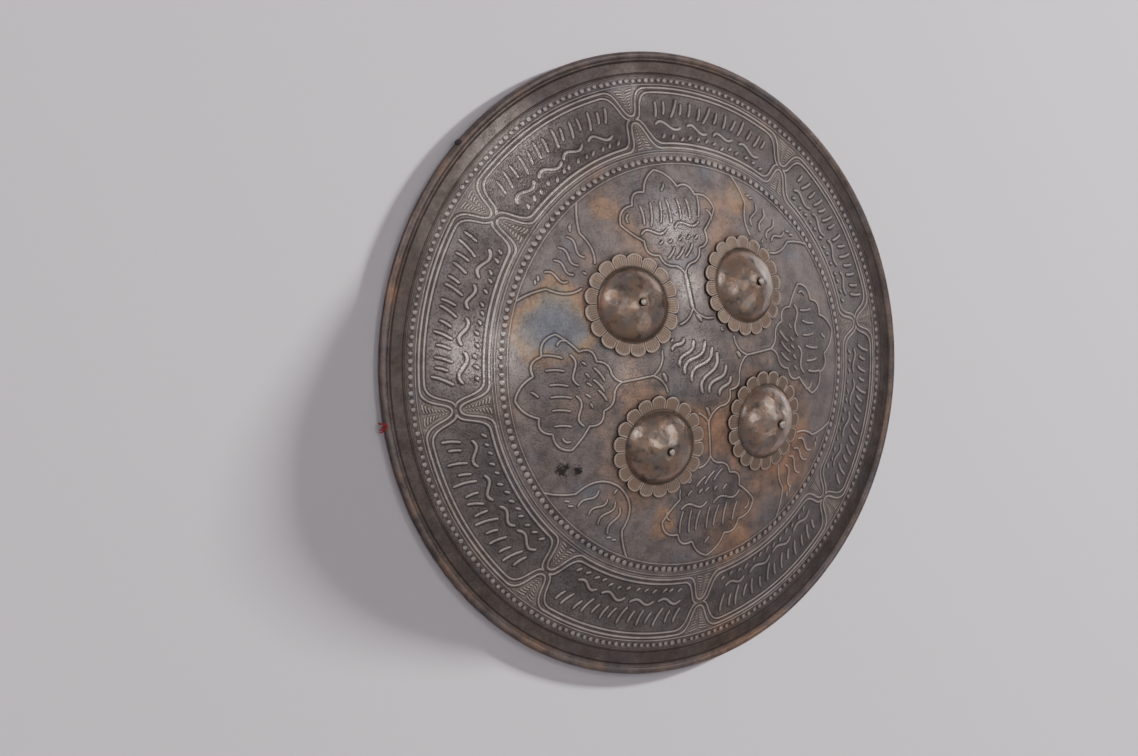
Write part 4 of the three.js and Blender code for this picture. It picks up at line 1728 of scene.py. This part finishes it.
@dataclass(frozen=True)
class Studio:
    """Camera at the photograph's viewing angle, soft lights and a pale floor."""

    eye: tuple[float, float, float] = (-924.64, 198.74, 1376.53)
    right: tuple[float, float, float] = (0.8326, -0.1412, 0.5356)
    ahead: tuple[float, float, float] = (0.5226, -0.1202, -0.8441)
    frame_width: float = 1138.0
    focal_pixels: float = 2300.0
    sensor: float = 36.0
    floor_reach: float = 9000.0
    floor_drop: float = 0.25
    sky: Colour = (0.9, 0.9, 0.93)
    sky_strength: float = 0.5
    lights: tuple[Softbox, ...] = field(default=(
        Softbox("light_right", 0.86, 0.22, 0.42, 2600, 560, 9.5),
        Softbox("light_top", 0.76, 0.46, 0.44, 2900, 430, 12.5),
        Softbox("light_front", 0.18, 0.02, 0.97, 3200, 980, 23.5),
        Softbox("light_left", -0.62, 0.42, 0.66, 2900, 730, 20),
        Softbox("light_low", 0.72, -0.54, 0.42, 2900, 1100, 7.5),
    ))
    floor_light: Softbox = Softbox("light_floor", 0.882, 0.369, -0.292, 9000, 560, 8200)

    def group(self, name: str, *members: bpy.types.Object) -> bpy.types.Collection:
        """A named set of things that a light falls on or is stopped by.

        Args:
            name: the set's name.
            members: the things in it.

        Returns:
            The set, as a collection outside the scene.
        """
        made = bpy.data.collections.new(name)
        for member in members:
            made.objects.link(member)
        return made

    def axes(self) -> Matrix:
        """The camera's turn: right, up and backwards as columns, squared up.

        Returns:
            A turn from the camera's own axes to the scene's.
        """
        ahead = Vector(self.ahead).normalized()
        up = Vector(self.right).cross(ahead).normalized()
        right = ahead.cross(up)
        return Matrix((right, up, -ahead)).transposed()

    def add_camera(self) -> None:
        """Adds the camera and makes it the scene's own."""
        camera = bpy.data.cameras.new("camera")
        camera.sensor_width = self.sensor
        camera.lens = self.focal_pixels / self.frame_width * self.sensor
        camera.clip_start, camera.clip_end = 0.01, 50
        seat = bpy.data.objects.new("camera", camera)
        seat.matrix_world = Matrix.Translation(Vector(self.eye) * MM) @ self.axes().to_4x4()
        bpy.context.scene.collection.objects.link(seat)
        bpy.context.scene.camera = seat

    def add_lights(self) -> None:
        """Adds the sky and the softboxes, each aimed at the middle of the shield."""
        world = bpy.data.worlds.new("studio")
        world.use_nodes = True
        background = world.node_tree.nodes["Background"]
        background.inputs["Color"].default_value = (*self.sky, 1)
        background.inputs["Strength"].default_value = self.sky_strength
        bpy.context.scene.world = world
        for box in (*self.lights, self.floor_light):
            lamp = bpy.data.lights.new(box.name, "AREA")
            lamp.shape, lamp.size = "SQUARE", box.size * MM
            lamp.energy, lamp.color = box.power, box.colour
            aim = self.axes() @ Vector((box.right, box.up, box.towards)).normalized()
            seat = bpy.data.objects.new(box.name, lamp)
            turn = aim.to_track_quat("Z", "Y").to_matrix().to_4x4()
            seat.matrix_world = Matrix.Translation(aim * box.distance * MM) @ turn
            bpy.context.scene.collection.objects.link(seat)
            if box is self.floor_light:
                seat.light_linking.receiver_collection = self.group("floor_only", bpy.data.objects["floor"])
                seat.light_linking.blocker_collection = self.group("dish_only", bpy.data.objects["dish"])

    def add_floor(self, paint: FloorPaint) -> None:
        """Adds the floor, a square just under the rim, as stage.

        Args:
            paint: its finish.
        """
        reach, level = self.floor_reach, -self.floor_drop
        signs = ((-1, -1), (1, -1), (1, 1), (-1, 1))
        corners = np.array([[x * reach, y * reach, level] for x, y in signs])
        floor = Surface(corners, np.array([[0, 1, 2, 3]]), np.zeros((0, 3), int), {}).to_piece("floor")
        floor.data.materials.append(paint.make())


def make_bosses(shell: Shell) -> tuple[Boss, ...]:
    """The four bosses, each at its own angle and distance.

    Args:
        shell: the form of the dish that they sit on.

    Returns:
        The bosses from the upper right, anticlockwise.
    """
    return (
        Boss("upper_right", 44.3, 69.8, 18, 0.7, 1, 2.5, shell),
        Boss("upper_left", 132.7, 69.3, 17, 15.4, 2, 2.3, shell),
        Boss("lower_left", 230.6, 65.5, 18, 5.8, 3, 2.4, shell),
        Boss("lower_right", 315.9, 72.7, 18, 3.7, 4, 2.9, shell),
    )


def main() -> None:
    """Builds the shield piece by piece, then the studio."""
    logging.basicConfig(level=logging.INFO, format="%(name)s: %(message)s")
    shell, border = Shell(), Border()
    patina = Patina(border)
    bosses = make_bosses(shell)

    def clear_of(plan: Array) -> Array:
        """Whether plan points lie outside every boss."""
        return ~np.any([boss.covers(plan) for boss in bosses], axis=0)

    work = ChasedWork(Chaser(shell, patina), border, clear_of)
    dish_metal = DishMetal().make()
    dish = Dish(shell, patina, tuple(boss.seat() for boss in bosses))
    fit(dish.build().to_piece("dish"), dish_metal, Slot.DISH, "shield_dish")
    pearls = {
        "outer_pearls": PearlRow(203.9, 232, 2.0, 0.75, 0.62, 31),
        "inner_pearls": PearlRow(146.6, 165, 2.15, 0.8, 0.72, 32),
    }
    for name, row in pearls.items():
        fit(row.build(shell, patina).to_piece(name), dish_metal, Slot.DISH)
    chased = {
        "panel_frames": work.frames, "panel_strokes": work.panels, "spandrel_leaves": work.leaves,
        "field_outlines": work.field, "field_strokes": work.field_strokes,
    }
    for name, build in chased.items():
        fit(build().to_piece(name), dish_metal, Slot.DISH)
    boss_metal, rivet_metal = BossMetal().make(), RivetMetal().make()
    for boss in bosses:
        fit(boss.build().to_piece(f"{boss.name}_boss"), boss_metal, Slot.BOSS, f"boss_{boss.name}")
        fit(boss.build_rivet().to_piece(f"{boss.name}_rivet"), rivet_metal, Slot.RIVET, f"rivet_{boss.name}")

    scrap = RimScrap(shell)
    crimson = MattScrap("red_fibre", (0.30, 0.012, 0.016), (0.10, 0.006, 0.008))
    fit(scrap.build_fibres().to_piece("rim_fibres"), crimson.make(), Slot.DISH)
    dirt = MattScrap("black_dirt", (0.03, 0.026, 0.026), (0.008, 0.007, 0.007))
    fit(scrap.build_lump().to_piece("rim_lump"), dirt.make(), Slot.DISH)

    studio = Studio()
    studio.add_camera()
    studio.add_floor(FloorPaint())
    studio.add_lights()


if __name__ == "__main__":
    main()
